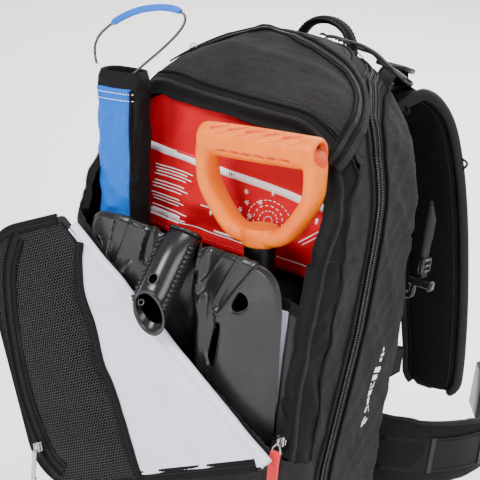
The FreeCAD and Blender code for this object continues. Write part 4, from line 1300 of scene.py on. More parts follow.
def make_flap(m):
    rows, faces = flap_rows(3.0, FLAP_Y - 1.6)
    keep, keep_faces = clip(rows, faces, -3.0 - rows[:, 5])
    keep, keep_faces = clip(np.array(keep), keep_faces, np.array(keep)[:, 4] - 2.0)
    table = np.array(keep)
    keep, keep_faces = clip(table, keep_faces, 4.0 - line_distance(table[:, 0], table[:, 2], MESH_EDGE))
    lining = cloth_layer("flap_lining", keep, keep_faces, m["lining"], "flap", "lining_white", 0.8,
                ("flap_panel",))
    outer_rows, outer_faces = flap_rows(4.0, FLAP_Y - 0.5, 0.15)
    outer, outer_faces = clip(outer_rows, outer_faces, -2.0 - outer_rows[:, 5])
    outer, outer_faces = clip(np.array(outer), outer_faces, np.array(outer)[:, 4] - 2.0)
    shell = cloth_layer("flap_outer", outer, outer_faces, m["pack"], "flap", "pack_fabric", 0.9)

    chains = contour(rows, faces, rows[:, 5] + 5.2)
    chain = [c for c in chains if len(c) > 30][0]
    line = free_run(resample(chain[:, :3], 3.0), 9.0)
    out = ahead_of(line)
    line = line + [0, 0.6, 0]
    p, f = sweep(line, [(-5.6, -1.2), (-6.1, 0.2), (-5.4, 1.5), (-2.5, 1.1), (2.0, 1.2), (5.2, 1.9),
                        (6.4, 0.9), (6.5, -0.6), (5.4, -1.5), (0, -1.4)], normals=out)
    piece("flap_rim", p, f, m["binding"], "flap", slot="binding_black", replaces=("flap_binding",))
    stitches("flap_rim_stitch", line + [0, -1.5, 0], out, m["thread"], "flap", 3.4, 2.4, 0.5, 0.0)
    chain = [c for c in contour(rows, faces, rows[:, 5] + 0.4) if len(c) > 30][0]
    line = free_run(resample(chain[:, :3], 2.0), 6.0)
    out = ahead_of(line)
    p, f = strip_of_blocks(line, out, (0.8, 1.6, 1.2), 1.5, 0, 0.25, -1.0)
    piece("flap_coil", p, f, m["coil"], "flap", smooth=False, slot="zip_tape")
    make_mesh_pocket(rows, faces, m)
    make_fold(m)


def make_mesh_pocket(rows, faces, m):
    """Black mesh pocket over a dark backing, with a bound edge and its own curved zip."""
    side = -line_distance(rows[:, 0], rows[:, 2], MESH_EDGE)
    lifted = rows.copy()
    belly = np.array([POCKET_DEPTH * smoothstep(9, 44, -r[5]) * smoothstep(0, 46, -s)
                      for r, s in zip(rows, side)])
    wave = np.array([1.2 * noise.noise(Vector((r[3] / 26, r[4] / 26, 11.0))) for r in rows])
    lifted[:, 1] = FLAP_Y - 3.0 - belly - wave * smoothstep(8, 30, -rows[:, 5])
    wide = np.hstack([lifted, side[:, None]])
    back, back_faces = clip(wide, faces, -8.0 - wide[:, 5])
    back, back_faces = clip(np.array(back), back_faces, -np.array(back)[:, 6])
    cloth_layer("mesh_backing", np.array(back) + [0, 0.9, 0, 0, 0, 0, 0], back_faces, m["mesh_back"], "flap",
                "mesh_black", 0.6)
    make_hex_mesh(wide, m)
    edge = []
    for x, z in resample(catmull(MESH_EDGE, 8), 3.0):
        rel = np.array((x - FOLD_LEFT[0], 0, z - FOLD_LEFT[1]))
        u, v = rel @ ALONG, rel @ DOWN
        if v > 3 and flap_edge_distance(u, v) < -5:
            edge.append(flap_point(u, v, FLAP_Y - 3.2 - flap_lift(u, v)))
    edge = np.array(edge)
    out = ahead_of(edge)
    p, f = sweep(edge, [(-4.2, -0.9), (-4.6, 0.1), (-3.8, 1.1), (0, 0.8), (3.6, 1.3), (4.6, 0.3),
                        (4.2, -0.9), (0, -1.0)], normals=out)
    piece("mesh_binding", p, f, m["binding"], "flap", slot="binding_black", replaces=("mesh_pocket",))
    stitches("mesh_binding_stitch", edge + [0, -0.9, 0], out, m["thread"], "flap", 3.2, 2.2, 0.5, 0.1)
    zip_line = resample(catmull([(-170, 372), (-177, 345), (-179, 309), (-171, 259), (-151, 202),
                                 (-130, 167), (-108, 143), (-92, 134)], 10), 0.9)
    rows_ = []
    for x, z in zip_line:
        rel = np.array((x - FOLD_LEFT[0], 0, z - FOLD_LEFT[1]))
        u, v = rel @ ALONG, rel @ DOWN
        d = flap_edge_distance(u, v)
        if d < -12:
            b = POCKET_DEPTH * smoothstep(9, 44, -d)
            rows_.append(flap_point(u, v, FLAP_Y - 4.3 - b))
    zip_row = np.array(rows_)
    out = ahead_of(zip_row)
    p, f = sweep(zip_row, strap_profile(15.0, 1.2), normals=out)
    piece("mesh_zip_tape", p, f, m["tape"], "flap", slot="zip_tape")
    shapes = [strip_of_blocks(zip_row, out, (1.0, 1.9, 1.3), 1.7, s * 1.0, 0.25, 1.0) for s in (-1, 1)]
    piece("mesh_zip_teeth", *gather(*shapes), m["teeth"], "flap", smooth=False, slot="zip_tape")
    for name, shift in (("mesh_piping_a", -7.6), ("mesh_piping_b", 7.6)):
        p, f = sweep(zip_row[::2], [(a + shift, b + 1.0) for a, b in round_profile(1.3, 8)],
                     normals=out[::2])
        piece(name, p, f, m["binding"], "flap", slot="binding_black")


def make_hex_mesh(wide, m):
    """Open hexagonal netting following the pocket's surface."""
    us = np.arange(*FLAP_U, 3.0)
    vs = np.arange(*FLAP_V, 3.0)
    grid_y = wide[:, 1].reshape(len(vs), len(us))
    side = wide[:, 6].reshape(len(vs), len(us))
    edge = wide[:, 5].reshape(len(vs), len(us))
    pitch = 3.0
    bm = bmesh.new()
    cache = {}

    def vertex(u, v):
        key = (round(u, 2), round(v, 2))
        if key not in cache:
            i, j = (v - vs[0]) / 3.0, (u - us[0]) / 3.0
            a, b = int(i), int(j)
            fi, fj = i - a, j - b
            y = ((1 - fi) * (1 - fj) * grid_y[a, b] + (1 - fi) * fj * grid_y[a, b + 1]
                 + fi * (1 - fj) * grid_y[a + 1, b] + fi * fj * grid_y[a + 1, b + 1])
            cache[key] = bm.verts.new(tuple(flap_point(u, v, y - 0.5) * MM))
        return cache[key]

    rows_n = int(300 / (pitch * 0.866))
    for r in range(1, rows_n):
        for c in range(int(400 / pitch)):
            u = -88 + c * pitch + (pitch / 2 if r % 2 else 0)
            v = 3 + r * pitch * 0.866
            i, j = int((v - vs[0]) / 3.0), int((u - us[0]) / 3.0)
            if i < 1 or j < 1 or i > len(vs) - 3 or j > len(us) - 3:
                continue
            if side[i, j] > 0.5 or edge[i, j] > -8.5:
                continue
            ring = [vertex(u + pitch / math.sqrt(3) * math.sin(k * math.pi / 3),
                           v + pitch / math.sqrt(3) * math.cos(k * math.pi / 3)) for k in range(6)]
            if len(set(ring)) == 6:
                bm.faces.new(ring)
    bmesh.ops.remove_doubles(bm, verts=list(bm.verts), dist=0.0004)
    mesh = bpy.data.meshes.new("mesh_net")
    bm.to_mesh(mesh)
    bm.free()
    mesh.materials.append(m["net"])
    obj = bpy.data.objects.new("mesh_net", mesh)
    SCENE.collection.objects.link(obj)
    modify(obj, "WIREFRAME", thickness=0.00075, use_even_offset=False)
    finish_piece(obj, "flap", False)


def make_fold(m):
    """The cloth that rolls over the fold line from the front panel to the open flap."""
    us = np.arange(6, FOLD_LENGTH - 3, 3.5)
    profile = []
    for a in np.linspace(0, 1, 15):
        angle = math.pi * (1 - a)
        profile.append((math.cos(angle), math.sin(angle)))
    rings = []
    for u in us:
        puff = 1.0 + 0.25 * noise.noise(Vector((u / 30, 2.0, 5.0)))
        ring = []
        for c, s in profile:
            # from behind the opening's lower edge, over the top, to the flap's face
            ring.append(flap_point(u, 3.0 - 5.0 * s * puff, FLAP_Y + 1.4 + 3.6 * c))
        rings.append([flap_point(u, 9.0, FLAP_Y + 5.4)] + ring + [flap_point(u, 7.0, FLAP_Y - 2.4)])
    points, faces = loft(rings, closed_ring=False)
    obj = piece("fold_roll", points, faces, m["lining"], None, slot="lining_white")
    modify(obj, "SOLIDIFY", thickness=0.0012, offset=0.0)
    smooth_faces(obj)
    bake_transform(obj)


# ---- red panel ---------------------------------------------------------------------------
def red_y(x, z):
    """Front face of the hanging red panel: a taut upper part, gathers and a curled hem."""
    fold = 0.0
    for x0, z0, angle, width, height in ((-60, 470, 1.15, 9, 2.2), (-20, 490, 1.35, 11, 2.4),
                                         (30, 480, 0.9, 10, 2.0), (85, 440, 1.0, 12, 3.0),
                                         (-95, 430, 1.5, 8, 2.0), (10, 400, 0.2, 7, 1.6),
                                         (60, 395, -0.1, 8, 2.4), (-70, 400, 0.1, 6, 1.2)):
        d = (x - x0) * math.cos(angle - math.pi / 2) + (z - z0) * math.sin(angle - math.pi / 2)
        fold += height * math.exp(-(d / width) ** 2)
    ripple = (1.5 * noise.noise(Vector((x / 30, z / 44, 1.0)))
              + 0.7 * noise.noise(Vector((x / 12, z / 16, 6.0))))
    hem = 2.2 * math.exp(-((z - 376) / 6.0) ** 2) * (0.6 + 0.6 * noise.noise(Vector((x / 22, 0, 2))))
    return -64.5 - 0.8 * fold - ripple - hem


def red_strip(name, outline, paint, depth=0.45):
    """A printed shape lying on the panel, given as a polyline band (points, width)."""
    shapes = []
    for line, width in outline:
        pts = resample(np.array(line, float), 2.2)
        if len(pts) < 2:
            continue
        rings = []
        for i, (x, z) in enumerate(pts):
            t = pts[min(i + 1, len(pts) - 1)] - pts[max(i - 1, 0)]
            t = t / (np.linalg.norm(t) + 1e-9)
            n = np.array((-t[1], t[0])) * width / 2
            a, b = (x + n[0], z + n[1]), (x - n[0], z - n[1])
            ring = [np.array((q[0], red_y(*q) - depth, q[1])) for q in (a, b)]
            back = [np.array((q[0], red_y(*q) - depth + 0.25, q[1])) for q in (b, a)]
            rings.append(ring + back)
        shapes.append(loft(rings))
    p, f = gather(*shapes)
    return piece(name, p, f, paint, "lid", slot="rescue_red")


def make_red_panel(m):
    xs = np.arange(-119, 121, 2.5)
    zs = np.arange(369.5, 505, 2.5)
    points, faces = [], []
    for z in zs:
        for x in xs:
            points.append(np.array((x, red_y(x, z), z)))
    faces = grid_faces(len(zs), len(xs))
    points = np.array(points)
    inside = -outline_distance(points[:, 0], points[:, 2], -9.0)
    keep, keep_faces = clip(points, faces, inside)
    panel = cloth_layer("rescue_cloth", keep, keep_faces, m["red"], "lid", "rescue_red", 0.7,
                        ("rescue_panel",))
    stripe = red_strip("panel_stripe", [([(-112, 447), (-40, 443), (30, 441), (112, 437)], 7.0)],
                       m["white_print"])
    bars = []
    for row in range(17):
        z = 430 - row * 3.0
        if row in (4, 8, 12):
            continue
        bars.append(([(-84 + (row % 3), z), (-84 + 44 - (row * 7) % 13, z - 0.6)], 1.1))
    for row in range(4):
        bars.append(([(-108, 428 - row * 12), (-94, 427.6 - row * 12)], 1.1))
    for row in range(3):
        bars.append(([(-25, 424 - row * 9), (-8, 423.5 - row * 9)], 1.1))
    bars.append(([(-110, 383.5), (20, 381.5), (112, 380.5)], 0.8))
    bars.append(([(-84, 386.5), (-48, 386)], 2.0))
    bars.append(([(-10, 384.5), (14, 384)], 2.0))
    for x0, x1 in ((-62, -40), (-36, -16)):
        bars.append(([(x0, 447.5), (x1, 447)], 2.6))
    red_strip("panel_lines", bars[:-2], m["white_print"], 0.5)
    red_strip("panel_stripe_marks", bars[-2:], m["panel_red_print"], 0.75)
    dashes = []
    for k in range(46):
        a = k * 0.38
        r = 3.0 + 0.95 * a
        b = a + 0.2
        r2 = 3.0 + 0.95 * b
        dashes.append(([(48 + r * math.cos(a), 411 + 0.8 * r * math.sin(a)),
                        (48 + r2 * math.cos(b), 411 + 0.8 * r2 * math.sin(b))], 0.8))
    for k in range(30):
        a = k * math.tau / 30
        b = a + 0.12
        dashes.append(([(48 + 24 * math.cos(a), 411 + 18 * math.sin(a)),
                        (48 + 24 * math.cos(b), 411 + 18 * math.sin(b))], 0.8))
    dashes.append(([(80, 400), (104, 420)], 0.9))
    dashes.append(([(84, 399), (106, 417)], 0.7))
    dashes.append(([(98, 392), (108, 392), (108, 398), (98, 398), (98, 392)], 0.8))
    for x, z in ((20, 420), (14, 412), (26, 409), (34, 424), (18, 430)):
        for k in range(6):
            a = k * math.pi / 3
            dashes.append(([(x, z), (x + 2.6 * math.cos(a), z + 2.6 * math.sin(a))], 0.6))
    red_strip("panel_figures", dashes, m["white_print"], 0.5)
    discs = []
    for x, z, r in ((46, 436.5, 2.6), (88, 425, 2.6), (95, 424, 2.6), (-14, 401, 2.4), (-20, 430, 2.4)):
        discs.append(([(x - r * 0.5, z), (x + r * 0.5, z)], 2 * r))
    red_strip("panel_dots", discs, m["white_print"], 0.5)
    hem = np.array([(x, red_y(x, 374.5), 374.5) for x in np.arange(-112, 116, 1.5)])
    out = ahead_of(hem)
    stitches("panel_hem_stitch", hem, out, m["red_thread"], "lid", 3.0, 2.1, 0.6, 0.5)


# ---- shovel and probe --------------------------------------------------------------------
TOOL_Z, LEAN = 388.0, 3.0
BLADE_X, BLADE_BACK = -6.0, -111.0
BLADE_EDGE = [(114, 137), (114, 230), (113.5, 265), (112, 305), (110, 345), (108, 361),
              (105, 373), (100, 383), (91, 390), (78, 393), (60, 394), (36, 391), (0, 386)]
BLADE_HOLES = [
    [(66, 344), (64, 349), (67, 357), (71, 363), (78, 360), (80, 352), (73, 345)],
    [(45, 285), (42, 295), (46, 322), (52, 327), (54, 315), (50, 285)],
    [(12, 277), (15, 268), (7, 268)],
    [(-98, 350), (-90, 365), (-86, 360), (-88, 348), (-94, 341)],
    [(-62, 285), (-60, 295), (-64, 322), (-70, 327), (-72, 315), (-68, 285)],
    [(-12, 277), (-15, 268), (-7, 268)],
]


def lean(points, x, y, tilt=0.0):
    """Leans a tool drawn upright: to the wearer's left, then forward, as the CAD does."""
    p = np.asarray(points, float) - (x, y, TOOL_Z)
    t = math.radians(-tilt)
    p = np.column_stack([p[:, 0] * math.cos(t) + p[:, 2] * math.sin(t), p[:, 1],
                         -p[:, 0] * math.sin(t) + p[:, 2] * math.cos(t)])
    a = math.radians(LEAN)
    p = np.column_stack([p[:, 0], p[:, 1] * math.cos(a) - p[:, 2] * math.sin(a),
                         p[:, 1] * math.sin(a) + p[:, 2] * math.cos(a)])
    return p + (x, y, TOOL_Z)


def polygon_distance(x, z, polygon):
    """Distance to a polygon's edge, below zero inside it."""
    best = np.full(np.shape(x), 1e9)
    inside = np.zeros(np.shape(x), bool)
    for (ax, az), (bx, bz) in zip(polygon, list(polygon[1:]) + [polygon[0]]):
        dx, dz = bx - ax, bz - az
        t = np.clip(((x - ax) * dx + (z - az) * dz) / (dx * dx + dz * dz + 1e-12), 0, 1)
        best = np.minimum(best, np.hypot(x - (ax + t * dx), z - (az + t * dz)))
        cross = ((az > z) != (bz > z)) & (x < (bx - ax) * (z - az) / (bz - az + 1e-12) + ax)
        inside ^= cross
    return np.where(inside, -best, best)


def blade_section(x):
    half = [(17, -1), (34, -10.1), (48, -14.4), (64, -16.4), (82, -14.8), (100, -9.6), (112, -3.8),
            (119, 0)]
    line = catmull([(-a, b) for a, b in half[::-1]] + [(0, 0)] + half, 16)
    return np.interp(x - BLADE_X, line[:, 0], line[:, 1])


def path_distance(x, z, path):
    """Distance to a path and the share of the way along it, for a list of (x, z, size)."""
    best, size = np.full(np.shape(x), 1e9), np.zeros(np.shape(x))
    for (ax, az, ar), (bx, bz, br) in zip(path[:-1], path[1:]):
        dx, dz = bx - ax, bz - az
        t = np.clip(((x - ax) * dx + (z - az) * dz) / (dx * dx + dz * dz), 0, 1)
        dist = np.hypot(x - (ax + t * dx), z - (az + t * dz))
        closer = dist < best
        best = np.where(closer, dist, best)
        size = np.where(closer, ar + t * (br - ar), size)
    return best, size


def blade_relief(x, z):
    """Pressed shapes of the blade: U-ended channels from the rim and fin-shaped ribs."""
    relief = np.zeros(np.shape(x))
    channels = [
        [(-66, 402, 8.0), (-71, 378, 7.0), (-77.5, 345, 4.6)],
        [(-31, 396, 8.0), (-39, 374, 6.2), (-42, 361, 4.6)],
        [(36, 402, 11.0), (25, 376, 7.6), (18, 361, 4.8)],
        [(74, 402, 8.6), (56, 368, 6.2), (43.5, 343, 4.8)],
    ]
    for path in channels:
        dist, size = path_distance(x, z, path)
        edge = dist - size
        relief -= 2.2 * smoothstep(0.6, -2.4, edge)
        relief += 1.1 * np.exp(-((edge - 0.8) / 1.1) ** 2)
    ribs = [
        [(-57, 352, 1.5), (-64, 338, 4.0), (-68, 318, 6.0), (-69, 296, 4.0), (-66, 282, 1.0)],
        [(26, 349, 1.5), (22, 335, 4.2), (21, 310, 6.4), (24, 285, 5.4), (30, 268, 2.0)],
        [(-40, 345, 1.0), (-34, 330, 2.4), (-32, 310, 3.0), (-34, 290, 1.0)],
    ]
    for path in ribs:
        dist, size = path_distance(x, z, path)
        relief += 5.6 * np.exp(-(dist / (size + 1.2)) ** 2) * smoothstep(0.5, 3.5, size)
    # long shallow channel outside each rib, and the valley's flare below the socket
    for path in ([(14, 345, 3), (9, 320, 5), (9, 290, 6), (14, 262, 3)],
                 [(38, 330, 3), (38, 300, 5), (42, 272, 3)],
                 [(-78, 330, 3), (-80, 300, 5), (-78, 275, 3)]):
        dist, size = path_distance(x, z, path)
        relief -= 1.7 * np.exp(-(dist / size) ** 2)
    beside = np.abs(x - BLADE_X)
    relief += 11.0 * np.exp(-((beside - 22.5) / 6.5) ** 2) * smoothstep(318, 350, z)
    lip = np.zeros(np.shape(x))
    for hole in BLADE_HOLES:
        edge = polygon_distance(x, z, [(BLADE_X + a, b) for a, b in hole])
        lip += np.exp(-((edge - 0.6) / 1.5) ** 2)
    return relief - 0.9 * lip


def make_blade(m):
    right = catmull([(BLADE_X + x, z) for x, z in BLADE_EDGE], 8)
    left = catmull([(BLADE_X - x, z) for x, z in BLADE_EDGE], 8)[::-1]
    tip = [(BLADE_X - 114 + 228 * t, 137 - 22 * math.sin(math.pi * t)) for t in np.linspace(0.04, 0.96, 24)]
    outline = [tuple(p) for p in right[::-1]] + tip[::-1] + [tuple(p) for p in left[::-1]]
    xs, zs = np.arange(-122, 111, 1.15), np.arange(113, 396.5, 1.15)
    X, Z = np.meshgrid(xs, zs)
    X, Z = X.ravel(), Z.ravel()
    edge = polygon_distance(X, Z, outline)
    roll = -2.2 * smoothstep(-5.0, 0.0, edge) * smoothstep(340, 380, Z)
    Y = BLADE_BACK - 2.5 + blade_section(X) - blade_relief(X, Z) - roll
    rows = np.column_stack([X, Y, Z])
    faces = grid_faces(len(zs), len(xs))
    keep, keep_faces = clip(rows, faces, -edge)
    for hole in BLADE_HOLES:
        table = np.array(keep)
        polygon = [tuple(p) for p in catmull([(BLADE_X + a, b) for a, b in hole], 4, True)]
        keep, keep_faces = clip(table, keep_faces, polygon_distance(table[:, 0], table[:, 2], polygon))
    obj = piece("shovel_plate", lean(keep, BLADE_X, BLADE_BACK), keep_faces, m["blade"], "blade",
                slot="blade_black", replaces=("shovel_blade",))
    modify(obj, "SOLIDIFY", thickness=-0.0022, offset=1.0)
    smooth_faces(obj)
    sharp_edges(obj, 40)
    make_socket(m)


def socket_axis():
    """Start and direction of the socket, before the blade is leaned."""
    root = np.array((BLADE_X, BLADE_BACK - 12.0, 385.0))
    a = math.radians(35.0)
    return root, np.array((0.0, -math.sin(a), -math.cos(a)))


def make_socket(m):
    """A tube welded into the blade's valley: flared mouth, pressed root, weld beads."""
    root, axis = socket_axis()
    side = np.array((1.0, 0, 0))
    up = np.cross(axis, side)
    if up[1] > 0:
        up = -up
    bevel = math.radians(41.0)
    plane = axis * math.cos(bevel) + up * math.sin(bevel)
    mouth = root + axis * 68.0
    around = 56
    rings = []
    stations = [(-14, 15.0, 0.62), (-6, 16.2, 0.75), (4, 17.0, 0.9), (16, 17.0, 1.0), (30, 17.0, 1.0),
                (44, 17.0, 1.0)]
    for s, r, squash in stations:
        ring = []
        for k in range(around):
            a = math.tau * k / around
            ring.append(root + axis * s + side * r * math.cos(a) + up * r * squash * math.sin(a))
        rings.append(ring)

    def cut(r, extra):
        """The tube's end on the slanting cut, with its radius and a step past it."""
        ring = []
        for k in range(around):
            a = math.tau * k / around
            spoke = side * r * math.cos(a) + up * r * math.sin(a)
            base = mouth + spoke
            t = -((base - mouth) @ plane) / (axis @ plane)
            ring.append(base + axis * (t + extra))
        return ring

    for r, extra in ((17.0, -14), (17.0, -5), (17.4, -1.4), (18.0, -0.2), (17.8, 0.5), (16.2, 0.7),
                     (15.2, 0.2), (14.6, -1.6), (14.4, -6), (14.4, -22)):
        rings.append(cut(r, extra))
    for s in (30, 10, -12):
        rings.append([root + axis * s + side * 14.4 * math.cos(math.tau * k / around)
                      + up * 14.4 * (1.0 if s > 0 else 0.6) * math.sin(math.tau * k / around)
                      for k in range(around)])
    points, faces = loft(rings)
    points = np.array(points)
    for hole, size in ((352.0, 4.4), (336.0, 2.2)):
        spot = np.array((BLADE_X - (0 if hole > 340 else 2), 0, hole))
        d = np.hypot(points[:, 0] - spot[0], points[:, 2] - spot[2])
        front = (points[:, 1] < root[1] - 4)
        points[:, 1] += front * 1.2 * np.exp(-(d / (size + 1.5)) ** 2)
    keep = np.where(points[:, 1] > BLADE_BACK - 1.5, BLADE_BACK - 1.5, points[:, 1])
    points[:, 1] = keep
    obj = piece("socket_tube", lean(points, BLADE_X, BLADE_BACK), faces, m["blade"], "blade",
                slot="blade_black", replaces=("blade_socket",), paints=(m["void"],))
    # the tube's inside, from the lip inwards, takes the near-black paint: painted shade inside the socket
    for poly in obj.data.polygons:
        poly.material_index = int(poly.index >= 14 * around)
    modify(obj, "SUBSURF", levels=1)
    # lock hole and drain hole: dark rings sunk in the tube's front, each floored with a near-black disc of
    # painted shade
    for name, z, x, r in (("socket_lock_hole", 352.0, BLADE_X, 4.3),
                          ("socket_drain_hole", 333.0, BLADE_X - 1, 2.1)):
        t = (z - root[2]) / axis[2]
        centre = root + axis * t + up * 16.6
        centre[0] = x
        ring = [[centre + side * rr * math.cos(math.tau * k / 24) + axis * rr * math.sin(math.tau * k / 24)
                 + up * lift for k in range(24)] for rr, lift in ((r + 1.2, 0.35), (r + 0.4, 0.75), (r, 0.5))]
        p, f = loft(ring, True, False, False)
        piece(name + "_rim", lean(p, BLADE_X, BLADE_BACK), f, m["blade"], "blade", slot="blade_black")
        # the hole's floor: a near-black disc that paints the shade inside the hole
        ring = [[centre + side * rr * math.cos(math.tau * k / 24) + axis * rr * math.sin(math.tau * k / 24)
                 + up * lift for k in range(24)] for rr, lift in ((r, 0.5), (r * 0.8, 0.28), (r * 0.3, 0.24))]
        p, f = loft(ring, True, False, True)
        piece(name, lean(p, BLADE_X, BLADE_BACK), f, m["void"], "blade", slot="blade_black")
    # weld beads: overlapping scales along both sides of the tube
    welds = []
    for flip, low, half in ((-1, 334.0, 2.6), (1, 336.0, 3.6)):
        for i, z in enumerate(np.arange(low, 384.0, 1.9)):
            t = (z - root[2]) / axis[2]
            centre = root + axis * t
            swing = 1.1 if i % 2 else -1.1
            angle = math.radians(24 + 4 * swing)
            spot = centre + side * flip * 17.6 * math.cos(angle) + up * 17.6 * math.sin(angle)
            welds.append(ball(spot + np.array((flip * 0.8 * swing, 0, 0)), (half, 2.2, 1.7)))
    p, f = gather(*welds)
    piece("socket_welds", lean(p, BLADE_X, BLADE_BACK), f, m["weld"], "blade", slot="blade_black")
    # rim of the tube's upper end, which shows above the valley
    line = [root + axis * -10 + side * 15.8 * math.cos(a) + up * (10.5 * math.sin(a)) + np.array((0, 0, 1.5))
            for a in turn(48)]
    p, f = sweep(np.array(line), round_profile(1.5, 8), closed=True)
    piece("socket_top_rim", lean(p, BLADE_X, BLADE_BACK), f, m["blade"], "blade", slot="blade_black")


def ball(centre, size, rings=5, around=8):
    """A small ellipsoid made from rings."""
    points = []
    for i in range(1, rings):
        a = math.pi * i / rings
        for k in range(around):
            b = math.tau * k / around
            points.append((centre[0] + size[0] * math.sin(a) * math.cos(b),
                           centre[1] + size[1] * math.sin(a) * math.sin(b),
                           centre[2] + size[2] * math.cos(a)))
    faces = []
    for i in range(rings - 2):
        for k in range(around):
            n = (k + 1) % around
            faces.append((i * around + k, (i + 1) * around + k, (i + 1) * around + n, i * around + n))
    faces.append(tuple(range(around)))
    faces.append(tuple((rings - 2) * around + k for k in range(around))[::-1])
    return points, faces


def make_grip(m):
    """Orange D grip: rounded legs, a thick bar with slots, hollow at its right end."""
    x, y, low = 60.0, -95.0, 398.0
    top = low + 104.0 - 15.0
    # one closed sweep round the D: legs are an upright oval, and the bottom widens
    loop = [(-50, top - 1), (-55.5, top - 8), (-56, top - 24), (-54, low + 50), (-47, low + 37),
            (-34, low + 20), (-24, low + 11.5), (-12, low + 8.5), (12, low + 8.5), (24, low + 11.5),
            (34, low + 20), (47, low + 37), (54, low + 50), (56, top - 24), (55.5, top - 8),
            (50, top - 1)]
    line = catmull([(x + a, y, b) for a, b in loop], 8)
    middle = np.array((x, y, low + 58.0))
    out = middle - line
    out /= np.linalg.norm(out, axis=1)[:, None]
    base = [(bulged(math.cos(a), 0.72) * 13.3,
             bulged(math.sin(a), 0.8) * 7.4)
            for a in turn(28)]
    rings = []
    tangent = np.gradient(line, axis=0)
    tangent /= np.linalg.norm(tangent, axis=1)[:, None]
    for i, c in enumerate(line):
        o = out[i] - tangent[i] * (out[i] @ tangent[i])
        o /= np.linalg.norm(o)
        s = np.cross(tangent[i], o)
        low_share = math.exp(-((c[0] - x) / 34) ** 2) if c[2] < low + 40 else 0.0
        high = smoothstep(top - 26, top - 4, c[2])
        grow_a = 1.0 - 0.06 * low_share - 0.06 * high
        grow_b = 1.0 + 0.10 * low_share + 0.25 * high
        rings.append([c + s * a * grow_a + o * b * grow_b for a, b in base])
    p1, f1 = loft(rings)
    # the bar, with bulged ends
    bar_rings = []
    stations = [(-61.5, 10.0), (-60.5, 12.8), (-58, 14.2), (-50, 14.8), (-30, 15.2), (0, 15.4), (30, 15.2),
                (50, 15.0), (58, 15.0), (60.5, 14.2), (61.5, 12.6), (61.6, 10.4), (60.0, 9.4), (54, 9.0),
                (44, 8.8), (43, 6.0)]
    for sx, r in stations:
        bar_rings.append([np.array((x + sx, y + r * 0.93 * math.cos(a), top + r * 1.0 * math.sin(a)))
                          for a in turn(40)])
    p2, f2 = loft(bar_rings)
    collar = [[np.array((x + r * math.cos(a), y + r * 0.9 * math.sin(a), z))
               for a in turn(32)]
              for z, r in ((low - 1.0, 14.6), (low + 0.5, 16.2), (low + 4, 16.6), (low + 12, 18.0),
                           (low + 17, 17.0))]
    p3, f3 = loft(collar)
    points, faces = gather((p1, f1), (p2, f2), (p3, f3))
    obj = piece("grip", lean(points, x, y, 7.0), faces, m["grip"], "handle", slot="grip_orange",
                replaces=("d_grip",))
    modify(obj, "REMESH", mode="VOXEL", voxel_size=0.0011)
    modify(obj, "SMOOTH", factor=0.6, iterations=10)
    obj.data.materials.clear()
    obj.data.materials.append(m["grip"])
    obj.data.materials.append(m["grip_shade"])
    cut_grip_slots(obj, x, y, top)
    smooth_faces(obj)


def cut_grip_slots(obj, x, y, top):
    """Sinks the bar's slots: long diagonal ones on top, a row of short ones in front. Their deep faces and
    the bar's hollow end get a darker orange, which paints the shade there.
    """
    mesh = obj.data
    co = np.empty(len(mesh.vertices) * 3)
    mesh.vertices.foreach_get("co", co)
    co = co.reshape(-1, 3) / MM
    local = unlean(co, x, y, 7.0)
    lx, ly, lz = local[:, 0] - x, local[:, 1] - y, local[:, 2] - top
    angle = np.degrees(np.arctan2(lz, -ly))
    arc = angle * math.pi / 180 * 15.0
    radius = np.hypot(ly, lz)
    on_bar = (lz > -16) & (np.abs(lx) < 56) & (radius < 18) & (radius > 10)
    depth = np.zeros(len(co))
    for k in range(5):
        cx = -40 + k * 19.0
        d, _ = path_distance(lx, arc, [(cx - 6.5, 15.5, 1), (cx + 6.5, 20.5, 1)])
        depth += 2.6 * smoothstep(2.9, 1.2, d)
        d, _ = path_distance(lx, arc, [(cx - 1, 9.5, 1), (cx + 8, 12.5, 1)])
        depth += 1.0 * smoothstep(2.6, 1.0, d)
    for k in range(6):
        cx = -33 + k * 13.0
        d, _ = path_distance(lx, arc, [(cx - 3.2, -8.5, 1), (cx + 3.2, -8.5, 1)])
        depth += 2.2 * smoothstep(2.6, 1.2, d)
    spoke = np.column_stack([np.zeros(len(co)), ly, lz])
    spoke /= np.linalg.norm(spoke, axis=1)[:, None] + 1e-9
    local = local - spoke * (depth * on_bar)[:, None]
    co = lean(local, x, y, 7.0) * MM
    mesh.vertices.foreach_set("co", co.ravel())
    sunk = depth * on_bar
    hollow = (lx > 40) & (radius < 11.5)
    # faces sunk deep in the slots and those inside the bar's hollow end take the darker orange: painted shade
    for poly in mesh.polygons:
        deep = [sunk[i] for i in poly.vertices]
        if sum(deep) / len(deep) > 1.5 or all(hollow[i] for i in poly.vertices):
            poly.material_index = 1
    mesh.update()


def unlean(points, x, y, tilt=0.0):
    """The inverse of lean()."""
    p = np.asarray(points, float) - (x, y, TOOL_Z)
    a = math.radians(-LEAN)
    p = np.column_stack([p[:, 0], p[:, 1] * math.cos(a) - p[:, 2] * math.sin(a),
                         p[:, 1] * math.sin(a) + p[:, 2] * math.cos(a)])
    t = math.radians(tilt)
    p = np.column_stack([p[:, 0] * math.cos(t) + p[:, 2] * math.sin(t), p[:, 1],
                         -p[:, 0] * math.sin(t) + p[:, 2] * math.cos(t)])
    return p + (x, y, TOOL_Z)


